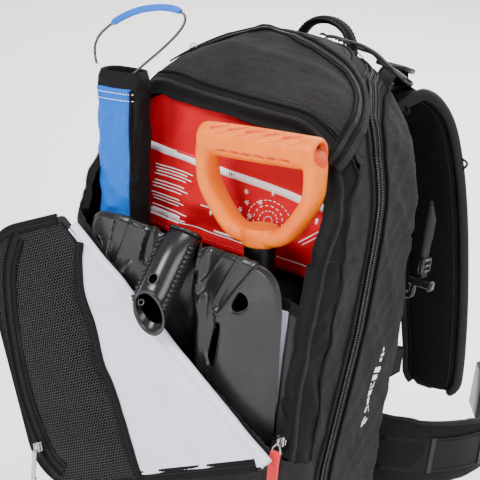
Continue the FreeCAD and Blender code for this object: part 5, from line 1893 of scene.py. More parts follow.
def make_probe_bag(m):
    """A stuffed sleeve with creases, a dark cuff and gusset, and a drawn-in mouth."""
    x, y = -91.0, -94.0
    around = 72
    rings = []
    levels = np.concatenate([np.arange(162, 508, 3.0), [509, 512, 515, 517, 518.5, 519]])
    for z in levels:
        share = (z - 160) / 358.0
        w = 23.5 - 2.6 * smoothstep(0.55, 0.0, share) + 0.6 * math.sin(z / 23.0)
        w += 1.5 * smoothstep(0.75, 0.98, share)
        d = 15.5 - 1.0 * smoothstep(0.8, 1.0, share)
        if z > 512:
            w -= (z - 512) * 0.35
            d -= (z - 512) * 0.3
        ring = []
        for k in range(around):
            a = math.tau * k / around
            c, s = math.cos(a), math.sin(a)
            px = bulged(c, 0.62) * w
            py = bulged(s, 0.62) * d
            p = np.array((x - 1.5 + px, y + py, z))
            crease = 1 - abs(noise.noise(Vector((px / 16 + z / 40, py / 16, z / 22 - px / 30))))
            fine = 1 - abs(noise.noise(Vector((px / 9 + 4, py / 9, z / 9 + px / 14))))
            calm = 0.35 if z > 505 else 1.0
            n = np.array((c, s, 0))
            dent = (2.4 * (crease ** 3 - 0.55) + 0.9 * (fine ** 4 - 0.4)) * calm
            gather_in = 1.2 * math.exp(-((z - 496) / 3.0) ** 2) + 1.0 * math.exp(-((z - 420) / 5.0) ** 2)
            ring.append(p + n * (dent - gather_in * 0.5))
        rings.append(ring)
    inner = [[p + (np.array((x - 1.5, y, p[2])) - p) * 0.08 - np.array((0, 0, drop)) for p in rings[-1]]
             for drop in (0.4, 6.0, 26.0)]
    rings += inner
    p, f = loft(rings, True, True, True)
    points = lean(p, x, y, 6.4)
    obj = piece("probe_sleeve", points, f, m["probe"], "probe", slot="probe_blue",
                replaces=("probe_bag",), paints=(m["divider"],))
    for poly in obj.data.polygons:
        c = unlean(np.array([np.array(poly.center) / MM]), x, y, 6.4)[0]
        gusset = c[0] > x + 16.0
        cuff = c[2] > 505
        poly.material_index = 1 if gusset or cuff else 0
    modify(obj, "SUBSURF", levels=1)
    # stitch rows near the mouth and seam tape beside the gusset
    for name, z in (("probe_stitch_a", 500.0), ("probe_stitch_b", 494.0)):
        line = np.array([(x - 1.5 + 26.2 * bulged(math.cos(a), 0.62),
                          y - 17.2 * abs(math.sin(a)) ** 0.62, z)
                         for a in np.linspace(math.pi * 0.98, math.pi * 0.22, 40)])
        out = line - np.array((x, y, z))
        out[:, 2] = 0
        stitches(name, lean(line, x, y, 6.4), out, m["white_print"], "probe", 3.0, 2.0, 0.6, 0.2)
    line = np.array([(x + 17.5, y - 15.2 - 0.6 * math.sin(z / 9.0), z) for z in np.arange(170, 506, 3.0)])
    p, f = sweep(lean(line, x, y, 6.4), round_profile(1.3, 8), normals=(0, -1, 0))
    piece("probe_seam", p, f, m["binding"], "probe", slot="probe_blue")


def make_wire(m):
    """The probe's wire loop and the blue grip sleeved on it."""
    route = [(-131, -110, 518), (-135, -111, 528), (-133, -112, 541), (-123, -113, 553),
             (-107, -114, 566), (-88, -115, 577), (-67, -116, 584), (-49, -117, 587),
             (-36, -117, 585), (-35, -116, 577), (-44, -114, 564), (-60, -112, 547),
             (-78, -110, 530), (-91, -109, 517)]
    curve = bpy.data.curves.new("probe_wire", "CURVE")
    curve.dimensions = "3D"
    spline = curve.splines.new("NURBS")
    spline.points.add(len(route) - 1)
    for point, place in zip(spline.points, route):
        point.co = (*(c * MM for c in place), 1.0)
    spline.order_u = 3
    spline.use_endpoint_u = True
    curve.resolution_u = 10
    bare = bpy.data.objects.new("wire_path", curve)
    SCENE.collection.objects.link(bare)
    path_mesh = bpy.data.meshes.new_from_object(bare)
    path = np.array([tuple(v.co) for v in path_mesh.vertices]) / MM
    bpy.data.meshes.remove(path_mesh)
    bpy.data.objects.remove(bare)
    curve.bevel_depth = 1.2 * MM
    curve.bevel_resolution = 4
    curve.materials.append(m["wire"])
    wire = bpy.data.objects.new("probe_wire", curve)
    SCENE.collection.objects.link(wire)
    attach(wire, "probe")
    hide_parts("wire_loop")
    # the sleeve covers the run between the loop's upper left and its far bend
    start = int(np.argmin(np.linalg.norm(path - (-115, -113.5, 559.5), axis=1)))
    end = int(np.argmin(np.linalg.norm(path - (-41, -117, 586), axis=1)))
    line = resample(path[min(start, end):max(start, end) + 1], 2.0)
    scale = [0.72 if i in (0, len(line) - 1) else (0.93 if i in (1, len(line) - 2) else 1.0)
             for i in range(len(line))]
    p, f = sweep(line, round_profile(3.1, 14), scale=scale)
    sleeve = piece("loop_sleeve", p, f, m["sleeve"], "probe", slot="wire_sleeve", replaces=("loop_grip",))


# ---- harness -----------------------------------------------------------------------------
STRAP_ROUTE = [(46, 74, 462), (47, 79, 488), (51, 97, 507), (60, 121, 510), (74, 137, 490),
               (90, 143, 450), (103, 147, 400), (113, 151, 345), (121, 155, 290),
               (127, 159, 245), (129, 161, 210)]


def flipped(points, faces):
    """The same shape on the wearer's left."""
    return [np.array(p) * (-1, 1, 1) for p in points], [tuple(reversed(f)) for f in faces]


def both_sides(name, points, faces, paint, bodies, slot=None, nodes=None, smooth=True):
    """Makes a piece on the right and its mirror image on the left."""
    made = []
    for side, body in zip(("right", "left"), bodies):
        p, f = (points, faces) if side == "right" else flipped(points, faces)
        replaces = (nodes + "_" + side,) if nodes else ()
        obj = piece(name + "_" + side, p, f, paint, body, smooth, slot, replaces)
        made.append(obj)
    return made


def pad_sweep(line, outs, widths, thick):
    """Rings of a soft rounded section along a line."""
    tangent = np.gradient(line, axis=0)
    tangent /= np.linalg.norm(tangent, axis=1)[:, None] + 1e-12
    rings = []
    for i, c in enumerate(line):
        o = outs[i] - tangent[i] * (outs[i] @ tangent[i])
        o /= np.linalg.norm(o)
        s = np.cross(tangent[i], o)
        ring = []
        for k in range(28):
            a = math.tau * k / 28
            ca, sa = math.cos(a), math.sin(a)
            u = bulged(ca, 0.8)
            v = bulged(sa, 0.55)
            bulge = 1.0 + 0.12 * (1 - u * u)
            ring.append(c + s * u * widths[i] / 2 + o * v * thick[i] / 2 * bulge)
        rings.append(ring)
    return loft(rings)


def puff(obj, cap, voxel=5.0, pressure=4.0):
    """Inflates a padded piece with a cloth simulation, limiting how far a point may move."""
    modify(obj, "REMESH", mode="VOXEL", voxel_size=voxel * MM)
    start = np.empty(len(obj.data.vertices) * 3)
    obj.data.vertices.foreach_get("co", start)
    cloth = obj.modifiers.new("cloth", "CLOTH")
    cloth.settings.use_pressure = True
    cloth.settings.uniform_pressure_force = pressure
    cloth.settings.effector_weights.gravity = 0
    cloth.settings.quality = 5
    for frame_number in range(1, SIM_FRAMES + 1):
        SCENE.frame_set(frame_number)
    apply_all(obj)
    SCENE.frame_set(1)
    end = np.empty(len(obj.data.vertices) * 3)
    obj.data.vertices.foreach_get("co", end)
    move = (end - start).reshape(-1, 3)
    size = np.linalg.norm(move, axis=1)
    limit = np.minimum(1.0, cap * MM / (size + 1e-9))
    final = start.reshape(-1, 3) + move * limit[:, None]
    obj.data.vertices.foreach_set("co", final.ravel())
    obj.data.update()
    modify(obj, "SUBSURF", levels=1)
    smooth_faces(obj)
    return obj


def strap_frame():
    line = resample(catmull(STRAP_ROUTE, 10), 4.0)
    tangent = np.gradient(line, axis=0)
    tangent /= np.linalg.norm(tangent, axis=1)[:, None]
    across = np.array((1.0, 0, 0)) - tangent * tangent[:, :1]
    across /= np.linalg.norm(across, axis=1)[:, None]
    return line, across, np.cross(tangent, across)


def make_straps(m):
    line, across, out = strap_frame()
    if out[len(out) // 2][1] < 0:
        out = -out
    count = len(line)
    share = np.linspace(0, 1, count)
    widths = 46 + 20 * smoothstep(0.0, 0.35, share) - 8 * smoothstep(0.75, 1.0, share)
    widths = widths * np.sqrt(np.clip(1 - ((share - 0.955) / 0.052) ** 2, 0.02, 1) *
                              (share > 0.955) + (share <= 0.955))
    thick = 11.5 * np.clip(np.minimum(share / 0.03, (1 - share) / 0.02), 0.35, 1) ** 0.5
    p, f = pad_sweep(line, out, widths, thick)
    pads = both_sides("shoulder_pad", p, f, m["foam"], STRAPS, "foam_black",
                      "shoulder_strap")
    for pad in pads:
        puff(pad, 2.0)
    for name, edge in (("strap_binding_a", 1), ("strap_binding_b", -1)):
        rim = line + across * (edge * widths / 2)[:, None]
        p, f = sweep(rim[1:-1], [(a * 1.0, b * 1.35) for a, b in round_profile(4.4, 12)], normals=out[1:-1])
        both_sides(name, p, f, m["edge"], STRAPS, "binding_black")
        seam = line + across * (edge * (widths / 2 - 8))[:, None] - out * 6.5
        p, f = strip_of_blocks(seam[3:-3], -out[3:-3], (2.4, 0.7, 0.6), 3.6, 0, 0.3, 0.2)
        both_sides("strap_seam" + name[-2:], p, f, m["thread"], STRAPS, "foam_black")
    # outer face: webbing daisy chain on the wearer's far side
    web = line[6:-8] + out[6:-8] * 7.4
    p, f = sweep(web, strap_profile(20, 1.6), normals=out[6:-8])
    both_sides("strap_webbing", p, f, m["webbing"], STRAPS, "webbing_black")
    bars = []
    for i in range(10, count - 12, 9):
        axes = np.array([across[i], np.cross(out[i], across[i]), out[i]])
        bars.append(block(line[i] + out[i] * 8.4, (20.5, 2.4, 0.9), axes))
    p, f = gather(*bars)
    both_sides("strap_bartacks", p, f, m["thread"], STRAPS, "webbing_black", smooth=False)
    # loops that stand on the strap's outer edge
    loops = []
    for start, reach, high, size in ((5, 18, 10, 1.1), (13, 13, 13, 1.5), (40, 12, 9, 1.2)):
        base = line[start] + across[start] * widths[start] / 2
        t = line[start + 1] - line[start]
        t /= np.linalg.norm(t)
        path = [base - across[start] * 6 - t * reach * 0.5, base + across[start] * 3 - t * reach * 0.45,
                base + across[start] * high, base + across[start] * 3 + t * reach * 0.45,
                base - across[start] * 6 + t * reach * 0.5]
        loops.append(sweep(catmull(path, 8), round_profile(size, 8)))
    p, f = gather(*loops)
    both_sides("strap_loops", p, f, m["binding"], STRAPS, "webbing_black")
    make_lifters(m)
    make_chest(m)
    make_trigger(m)


def bend_lifter(obj):
    """Bakes a lifter piece's placement into its mesh; it rides on no body."""
    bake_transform(obj)


def make_lifters(m):
    """Load lifter: webbing from the pack's top through a ladder-lock buckle to the strap."""
    web = catmull([(65, 62, 515), (65, 74, 531), (65, 84, 539), (65, 99, 538.5), (65, 103, 530),
                   (65, 110, 522.5), (65, 118, 517)], 8)
    tangent = np.gradient(web, axis=0)
    outs = np.cross(np.tile((1.0, 0, 0), (len(web), 1)), tangent)
    outs *= np.sign(outs[:, 2:3] + 1e-9)
    p, f = sweep(web, strap_profile(19.5, 1.7), normals=outs)
    for obj, strap in zip(both_sides("lifter_webbing", p, f, m["webbing"], (None, None), "webbing_black",
                                     "load_lifter"), STRAPS):
        bend_lifter(obj)
    tail = catmull([(65, 99, 540.5), (66, 88, 543), (68, 76, 538), (70, 66, 530), (72, 60, 520)], 8)
    tangent = np.gradient(tail, axis=0)
    outs = np.cross(np.tile((1.0, 0, 0), (len(tail), 1)), tangent)
    outs *= np.sign(outs[:, 2:3] + 1e-9)
    p, f = sweep(tail, strap_profile(14.0, 1.4), normals=outs)
    for obj, strap in zip(both_sides("lifter_tail", p, f, m["webbing"], (None, None), "webbing_black"),
                          STRAPS):
        bend_lifter(obj)
    tilt = np.array([(1, 0, 0), (0, 0.96, -0.26), (0, 0.26, 0.96)])
    bars = []
    for dy, size in ((-9, (34, 4.2, 5.0)), (-1.5, (30, 3.2, 4.0)), (6.5, (33, 4.6, 5.4))):
        bars.append(block(np.array((65, 93, 540)) + tilt[1] * dy, size, tilt, 0.28))
    for sx in (-1, 1):
        bars.append(block(np.array((65 + sx * 15.2, 93, 540)) - tilt[1] * 1.2, (4.4, 19, 5.0), tilt, 0.3))
    p, f = gather(*bars)
    for obj in both_sides("lifter_buckle", p, f, m["plastic"], STRAPS,
                          "buckle_black"):
        modify(obj, "BEVEL", width=0.0008, segments=2, limit_method="ANGLE", angle_limit=0.9)
        sharp_edges(obj, 50)


def make_chest(m):
    """Chest strap halves: clip on the strap, webbing and one half of the buckle."""
    x, y, z = STRAP_ROUTE[7]
    inner = x - 35
    bodies = ("chest_right", "chest_left")
    clip_shape = gather(block((inner - 4.5, y, z), (7, 18, 24), None, 0.2),
                        block((inner - 4.5, y + 5, z), (9, 3, 27), None, 0.3))
    web = np.array([(inner - 7 - t * 28, y + 2 + 0.6 * math.sin(t * 6), z) for t in np.linspace(0, 1, 14)])
    web_shape = sweep(web, strap_profile(19.5, 1.8), normals=(0, 1, 0))
    p, f = gather(clip_shape)
    both_sides("chest_clip", p, f, m["plastic"], bodies, "buckle_black", "chest_strap", smooth=False)
    p, f = web_shape
    both_sides("chest_webbing", p, f, m["webbing"], bodies, "webbing_black")
    shapes = [block((inner - 37, y + 2, z), (7, 8, 28), None, 0.3),
              block((inner - 47, y + 2, z + 9), (16, 6.4, 5), None, 0.35),
              block((inner - 47, y + 2, z - 9), (16, 6.4, 5), None, 0.35),
              block((inner - 46, y + 2, z), (13, 5, 8), None, 0.3),
              block((inner - 54, y + 2, z), (5.5, 7.6, 24), None, 0.35)]
    p, f = gather(*shapes)
    for obj in both_sides("chest_buckle", p, f, m["plastic"], bodies, "buckle_black"):
        modify(obj, "BEVEL", width=0.0007, segments=2, limit_method="ANGLE", angle_limit=0.9)
        sharp_edges(obj, 50)


def make_trigger(m):
    """Sheath on the left strap and the pull handle that leaves it downwards."""
    x, y, z = STRAP_ROUTE[8]
    rings = []
    for t, w, d in ((-18, 15, 8), (-14, 15.5, 8.6), (4, 15, 8.4), (18, 13, 7.4), (24, 10, 5.5)):
        rings.append([np.array((-x + w * bulged(math.cos(a), 0.5),
                                y + 17 + d * bulged(math.sin(a), 0.5), z + t))
                      for a in turn(40)])
    inner = [[np.array((-x, y + 17, p[2])) + (p - np.array((-x, y + 17, p[2]))) * 0.8
              for p in rings[0]],
             [np.array((-x, y + 17, p[2] + 20)) + (p - np.array((-x, y + 17, p[2]))) * 0.76
              for p in rings[0]]]
    p, f = loft(inner[::-1] + rings)
    piece("trigger_sheath", p, f, m["webbing"], "strap_left", slot="webbing_black",
          replaces=("trigger_holder",))
    stem = [[np.array((-x + w * bulged(math.cos(a), 0.6),
                       y + 17.5 + max(0, -t - 16) * 0.3 + d * bulged(math.sin(a), 0.6), z + t))
             for a in turn(32)]
            for t, w, d in ((9, 9, 3.6), (8, 10, 4.3), (-16, 10.2, 4.4), (-26, 12, 5.5), (-33, 20, 7.5))]
    bar = [[np.array((-x + s, y + 24.5 + r * math.cos(a), z - 36 + r * math.sin(a)))
            for a in turn(32)]
           for s, r in ((-24, 4.5), (-23.2, 7.0), (-20, 8.8), (-8, 8.2), (0, 8.6), (8, 8.2), (20, 8.8),
                        (23.2, 7.0), (24, 4.5))]
    p, f = gather(loft(stem), loft(bar))
    obj = piece("trigger_pull_handle", p, f, m["trigger"], "trigger", slot="trigger_red",
                replaces=("trigger_handle",))
    modify(obj, "REMESH", mode="VOXEL", voxel_size=0.0012)
    modify(obj, "SMOOTH", factor=0.5, iterations=6)
    smooth_faces(obj)


def make_pads(m):
    """Back pads and lumbar pad, with sewn channels and piping."""
    for name, x0, x1, z0, z1 in (("back_pad_left", -100, -22, 236, 404),
                                 ("back_pad_right", 22, 100, 236, 404),
                                 ("lumbar_cushion", -92, 92, 108, 224)):
        cx, cz, w, h = (x0 + x1) / 2, (z0 + z1) / 2, (x1 - x0) / 2 - 2.5, (z1 - z0) / 2 - 2.5
        deep = 20.0 if name != "lumbar_cushion" else 23.0
        rings = []
        for t in np.linspace(0, 1, 15):
            y = 61.5 + deep * t
            shrink = 1.0 - 0.16 * (t ** 5) - 0.03 * (1 - t) ** 4
            ring = []
            for k in range(64):
                a = math.tau * k / 64
                ca, sa = math.cos(a), math.sin(a)
                ring.append(np.array((cx + w * shrink * bulged(ca, 0.42), y,
                                      cz + h * shrink * bulged(sa, 0.42))))
            rings.append(ring)
        last = rings[-1]
        for s in (0.9, 0.7, 0.4, 0.1):
            rings.append([np.array((cx + (p[0] - cx) * s, 61.5 + deep + 0.8 * (1 - s), cz + (p[2] - cz) * s))
                          for p in last])
        p, f = loft(rings)
        nodes = {"back_pad_left": ("back_pads",), "lumbar_cushion": ("lumbar_pad",)}.get(name, ())
        pad = piece(name, p, f, m["foam"], "pack_body", slot="foam_black", replaces=nodes)
        puff(pad, 3.0)
        channel_pad(pad, cx, cz, w, h)
        loop = np.array([(cx + (w + 1.2) * bulged(math.cos(a), 0.42), 64.5,
                          cz + (h + 1.2) * bulged(math.sin(a), 0.42))
                         for a in turn(96)])
        loop = resample(loop, 3.0, closed=True)
        p, f = sweep(loop, round_profile(1.9, 8), closed=True, normals=(0, 1, 0))
        piece(name + "_piping", p, f, m["binding"], "pack_body", slot="binding_black")


def channel_pad(pad, cx, cz, w, h):
    """Presses sewn channels into a pad's wearer's side."""
    mesh = pad.data
    co = np.empty(len(mesh.vertices) * 3)
    mesh.vertices.foreach_get("co", co)
    co = co.reshape(-1, 3) / MM
    rel_x, rel_z = (co[:, 0] - cx) / w, (co[:, 2] - cz) / h
    front = (smoothstep(72, 80, co[:, 1]) * smoothstep(1.0, 0.8, np.abs(rel_x))
             * smoothstep(1.0, 0.85, np.abs(rel_z)))
    dent = np.zeros(len(co))
    for shift in (-0.45, 0.0, 0.45):
        dent += 3.2 * np.exp(-((rel_z - shift - 0.18 * np.abs(rel_x)) * h / 3.0) ** 2)
    co[:, 1] -= dent * front
    mesh.vertices.foreach_set("co", (co * MM).ravel())
    mesh.update()


def belt_at(radius, degrees, z):
    a = math.radians(degrees)
    return np.array((58.0 + radius * math.cos(a), 204.0 + radius * math.sin(a), z))


def make_belt(m):
    rings, outs = [], []
    steps = 44
    for i in range(steps + 1):
        share = i / steps
        degrees = lerp(-70.0, 35.0, share)
        top, low = 200 - 14 * share, 118 + 8 * share
        ends = 1.0
        if share > 0.93:
            ends = max(0.3, min(1.0, math.sqrt(max(0.0, 1 - ((share - 0.93) / 0.075) ** 2))))
        half, middle = (top - low) / 2 * ends - 1.5, (top + low) / 2
        ring = []
        for k in range(30):
            a = math.tau * k / 30
            ca, sa = math.cos(a), math.sin(a)
            v = bulged(ca, 0.7)
            u = bulged(sa, 0.6)
            swell = 1 + 0.15 * (1 - v * v)
            ring.append(belt_at(120 + 5.2 * u * swell, degrees, middle + half * v))
        rings.append(ring)
    p, f = loft(rings)
    wings = both_sides("belt_pad", p, f, m["belt"], BELTS, "foam_black", "belt_wing")
    for wing in wings:
        puff(wing, 2.5)
    mesh = wings[0].data
    tree = BVHTree.FromPolygons([v.co / MM for v in mesh.vertices],
                                [tuple(q.vertices) for q in mesh.polygons])
    for name, edge in (("belt_binding_top", 1), ("belt_binding_low", -1)):
        path = []
        for share in np.linspace(0.0, 0.96, 50):
            top, low = 200 - 14 * share, 118 + 8 * share
            above = belt_at(120, lerp(-70, 35, share), (top + 8) if edge > 0 else (low - 8))
            hit = tree.ray_cast(Vector(above), Vector((0, 0, -edge)))
            if hit[0] is not None:
                path.append(np.array(hit[0]) - [0, 0, edge * 0.8])
        path = np.array(path)
        p, f = sweep(path, [(a, b * 1.2) for a, b in round_profile(3.2, 10)], normals=(0, 0, 1))
        both_sides(name, p, f, m["edge"], BELTS, "binding_black")
    # stitched webbing along the wing's outside, then free to the buckle
    path, outs = [], []
    for degrees in np.linspace(-62, 32, 46):
        a = math.radians(degrees)
        path.append(belt_at(127.4, degrees, 158.5))
        outs.append((math.cos(a), math.sin(a), 0))
    path, outs = np.array(path), np.array(outs)
    p, f = sweep(path, strap_profile(37, 1.8), normals=outs)
    both_sides("belt_webbing", p, f, m["webbing"], BELTS, "webbing_black")
    for name, dz in (("belt_stitch_a", 15.5), ("belt_stitch_b", -15.5)):
        p, f = strip_of_blocks(path + [0, 0, dz], outs, (2.4, 0.6, 0.6), 3.6, 0, 0.3, 1.0)
        both_sides(name, p, f, m["edge"], BELTS, "webbing_black")
    tabs = []
    for degrees in (-38, -8, 18):
        a = math.radians(degrees)
        axes = np.array([(-math.sin(a), math.cos(a), 0), (0, 0, 1), (math.cos(a), math.sin(a), 0)])
        tabs.append(block(belt_at(128.8, degrees, 158.5), (5, 38.5, 1.2), axes))
    p, f = gather(*tabs)
    both_sides("belt_bartacks", p, f, m["thread"], BELTS, "webbing_black", smooth=False)
    degrees = 35.0
    a = math.radians(degrees)
    t = np.array((-math.sin(a), math.cos(a), 0))
    n = np.array((math.cos(a), math.sin(a), 0))
    end = belt_at(120, degrees, 0)
    line = np.array([end + t * s + np.array((0, 0, 157)) + n * (4.0 * (1 - s / 44) if s < 44 else 0)
                     for s in np.linspace(-4, 50, 16)])
    p, f = sweep(line, strap_profile(37, 1.9), normals=n)
    both_sides("belt_tail", p, f, m["webbing"], BELTS, "webbing_black")
    axes = np.array([t, n, (0, 0, 1)])

    def at(s, d, z):
        return end + t * s + n * d + np.array((0, 0, z))

    female = [block(at(47, 0, 157), (7, 14, 52), axes, 0.3),
              block(at(68, 6.6, 157), (46, 3, 50), axes, 0.3),
              block(at(68, -6.6, 157), (46, 3, 50), axes, 0.3),
              block(at(66, 0, 132), (44, 14, 4), axes, 0.3), block(at(66, 0, 182), (44, 14, 4), axes, 0.3)]
    p, f = gather(*female)
    obj = piece("belt_socket", p, f, m["plastic"], "belt_right", slot="buckle_black",
                replaces=("belt_buckle_socket",))
    modify(obj, "BEVEL", width=0.0012, segments=2, limit_method="ANGLE", angle_limit=0.9)
    sharp_edges(obj, 50)
    male = [block(at(46, 0, 157), (6, 11, 46), axes, 0.3), block(at(59, 0, 157), (6, 10, 45), axes, 0.3),
            block(at(52, 0, 177), (16, 9, 5), axes, 0.3), block(at(52, 0, 137), (16, 9, 5), axes, 0.3),
            block(at(74, 0, 157), (24, 7.5, 13), axes, 0.3),
            block(at(73, 0, 174), (22, 5.5, 7), axes, 0.4), block(at(73, 0, 140), (22, 5.5, 7), axes, 0.4)]
    p, f = flipped(*gather(*male))
    obj = piece("belt_plug", p, f, m["plastic"], "belt_left", slot="buckle_black",
                replaces=("belt_buckle_plug",))
    modify(obj, "BEVEL", width=0.001, segments=2, limit_method="ANGLE", angle_limit=0.9)
    sharp_edges(obj, 50)


# ---- hardware and small cloth ------------------------------------------------------------
def slider_shape(centre, axes, size=1.0):
    """A zip slider: two plates joined by a wedge, and a bridge over the top one."""
    axes = np.asarray(axes, float)

    def at(a, b, c):
        return np.asarray(centre, float) + (np.array((a, b, c)) * size) @ axes

    shapes = [block(at(0, 0, 2.0), np.array((8.6, 7.2, 1.5)) * size, axes, 0.35),
              block(at(0, 0, -1.4), np.array((8.6, 7.2, 1.2)) * size, axes, 0.35),
              block(at(2.6, 0, 0.3), np.array((2.0, 2.2, 3.0)) * size, axes, 0.2)]
    bridge = [at(a, 0, c) for a, c in ((-3.6, 2.4), (-3.4, 4.2), (-1.5, 5.2), (1.5, 5.2), (3.4, 4.2),
                                       (3.6, 2.4))]
    shapes.append(sweep(catmull(bridge, 5), round_profile(0.75 * size, 8)))
    return shapes


def make_sliders(m):
    # tool opening: silver slider with a red fabric pull, folded and stitched
    p, f = gather(*slider_shape((122, -116, 238), [(0, 0, 1), (1, 0, 0), (0, -1, 0)], 1.1))
    obj = piece("opening_zip_slider", p, f, m["slider"], "opening_pull", slot="slider_metal",
                replaces=("opening_slider",))
    sharp_edges(obj, 40)
    ring = sweep(catmull([(122, -121, 236), (126, -122.5, 231), (125, -123, 226), (119, -123, 226),
                          (118, -122.5, 231)], 6, True), round_profile(0.9, 8), closed=True)
    piece("opening_pull_ring", *ring, m["slider"], "opening_pull", slot="slider_metal")
    line = catmull([(122, -122.5, 229), (122, -124.0, 226), (122, -124.4, 215), (122.3, -124.0, 206),
                    (122.6, -123.2, 199)], 8)
    shapes = [sweep(line + [0, d, 0], strap_profile(10.0, 1.4), normals=(0, -1, 0)) for d in (0, 1.6)]
    piece("opening_red_pull", *gather(*shapes), m["red_pull"], "opening_pull", slot="pull_red")
    stitch = np.array([(119.2, -125.2, z) for z in np.arange(202, 224, 1.5)])
    stitch2 = stitch + [5.6, 0, 0]
    shapes = [strip_of_blocks(s, ahead_of(s), (1.8, 0.5, 0.5), 2.6)
              for s in (stitch, stitch2)]
    piece("opening_pull_stitch", *gather(*shapes), m["red_thread"], "opening_pull", slot="pull_red")
    # mesh pocket
    lean_axis = np.array((0.37, 0, -0.929))
    p, f = gather(*slider_shape((-120, -151, 150), [-lean_axis, (0.929, 0, 0.37), (0, -1, 0)], 1.0))
    obj = piece("mesh_zip_slider", p, f, m["slider"], "mesh_pull", slot="slider_metal",
                replaces=("mesh_slider",))
    sharp_edges(obj, 40)
    line = catmull([(-120, -155.5, 147), (-119.6, -155.5, 140), (-119.9, -154.5, 128),
                    (-120, -153.0, 113)], 8)
    shapes = [sweep(line, strap_profile(5.0, 1.6), normals=(0, -1, 0)),
              block((-120, -152.7, 115), (6.4, 3.0, 8.5), None, 0.3)]
    piece("mesh_pull_tab", *gather(*shapes), m["slider"], "mesh_pull", slot="slider_metal", smooth=False)
    # main zip: two sliders beside the haul loop, each with a long moulded pull
    for side, x, y, low in (("right", 24.0, 50.6, 545.0), ("left", 4.0, 54.6, 551.0)):
        body = "main_pull_" + side
        p, f = gather(*slider_shape((x, 50.5, 555.5), [(1, 0, 0), (0, 0.35, 0.94), (0, -0.94, 0.35)], 1.35))
        obj = piece("main_slider_body_" + side, p, f, m["slider"], body, slot="slider_metal",
                    replaces=("main_slider_" + side,))
        sharp_edges(obj, 40)
        line = catmull([(x, y - 1, 559.5), (x + 10, y, 561.0), (x + 24, y + 0.4, 560.5),
                        (x + 40, y + 0.5, 556.5),
                        (x + 54, y, low + 4.5), (x + 62, y, low + 0.5)], 8)
        shapes = [sweep(line, [(a * 1.25, b) for a, b in round_profile(1.7, 10)], normals=(0, 0, 1)),
                  sweep(catmull([(x - 4, y - 1, 559), (x, y - 2, 562), (x + 4, y - 1, 560),
                                 (x, y + 1, 557.5)], 6, True),
                        round_profile(1.1, 8), closed=True)]
        t = np.array((17.0, 0, -7.4)) / np.linalg.norm((17.0, 0, -7.4))
        up = np.array((t[2] * -1, 0, t[0]))
        base = np.array((x + 70, y, low - 3))
        grip = []
        for s, w, h in ((-10, 2.2, 1.6), (-8, 3.6, 2.2), (-3, 4.0, 2.4), (3, 4.4, 2.6), (6, 4.8, 2.4)):
            grip.append([base + t * s + np.array((0, 1, 0)) * w * math.cos(a) + up * h * math.sin(a)
                         for a in turn(20)])
        shapes.append(loft(grip))
        eye = [base + t * (8.5 + 4.2 * math.cos(a)) + np.array((0, 1, 0)) * 4.2 * math.sin(a)
               for a in turn(24)]
        shapes.append(sweep(np.array(eye), round_profile(1.3, 8), closed=True))
        piece("main_pull_grip_" + side, *gather(*shapes), m["rubber"], body, slot="pull_black")


def make_haul_loop(m):
    path = catmull([(-30, 60, 494), (-30.5, 63, 515), (-31, 67, 535), (-29, 68.6, 553), (-18, 68.6, 568.5),
                    (0, 68.6, 574), (18, 68.6, 568.5), (29, 68.6, 553), (31, 67, 535), (30.5, 63, 515),
                    (30, 60, 494)], 10)
    line = resample(path, 2.5)
    tangent = np.gradient(line, axis=0)
    outs = np.cross(tangent, (0, 1.0, 0))
    outs *= np.sign(np.sum(outs * (line - [0, 64, 520]), axis=1))[:, None]
    piece("haul_webbing", *sweep(line, strap_profile(17, 2.0), normals=outs), m["webbing"], "pack_body",
          slot="webbing_black", replaces=("haul_loop",))
    keep = (line[:, 2] > 548)
    grip = line[keep]
    piece("haul_grip", *sweep(grip + outs[keep] / np.linalg.norm(outs[keep], axis=1)[:, None] * -1.2,
                              [(a * 1.25, b * 0.85) for a, b in round_profile(4.6, 14)], normals=outs[keep]),
          m["binding"], "pack_body", slot="webbing_black")
    rows = []
    for dy in (-7.5, 7.5):
        rows.append(strip_of_blocks(line + [0, dy, 0], outs, (2.4, 0.6, 0.6), 3.6, 0, 0.3, 1.3))
    piece("haul_stitch", *gather(*rows), m["edge"], "pack_body", slot="webbing_black")
    tacks = [block((side * 30, 58.5, z), (20, 1.2, 2.2), None, 0.3) for side in (-1, 1) for z in (496, 508)]
    piece("haul_bartacks", *gather(*tacks), m["thread"], "pack_body", smooth=False, slot="webbing_black")


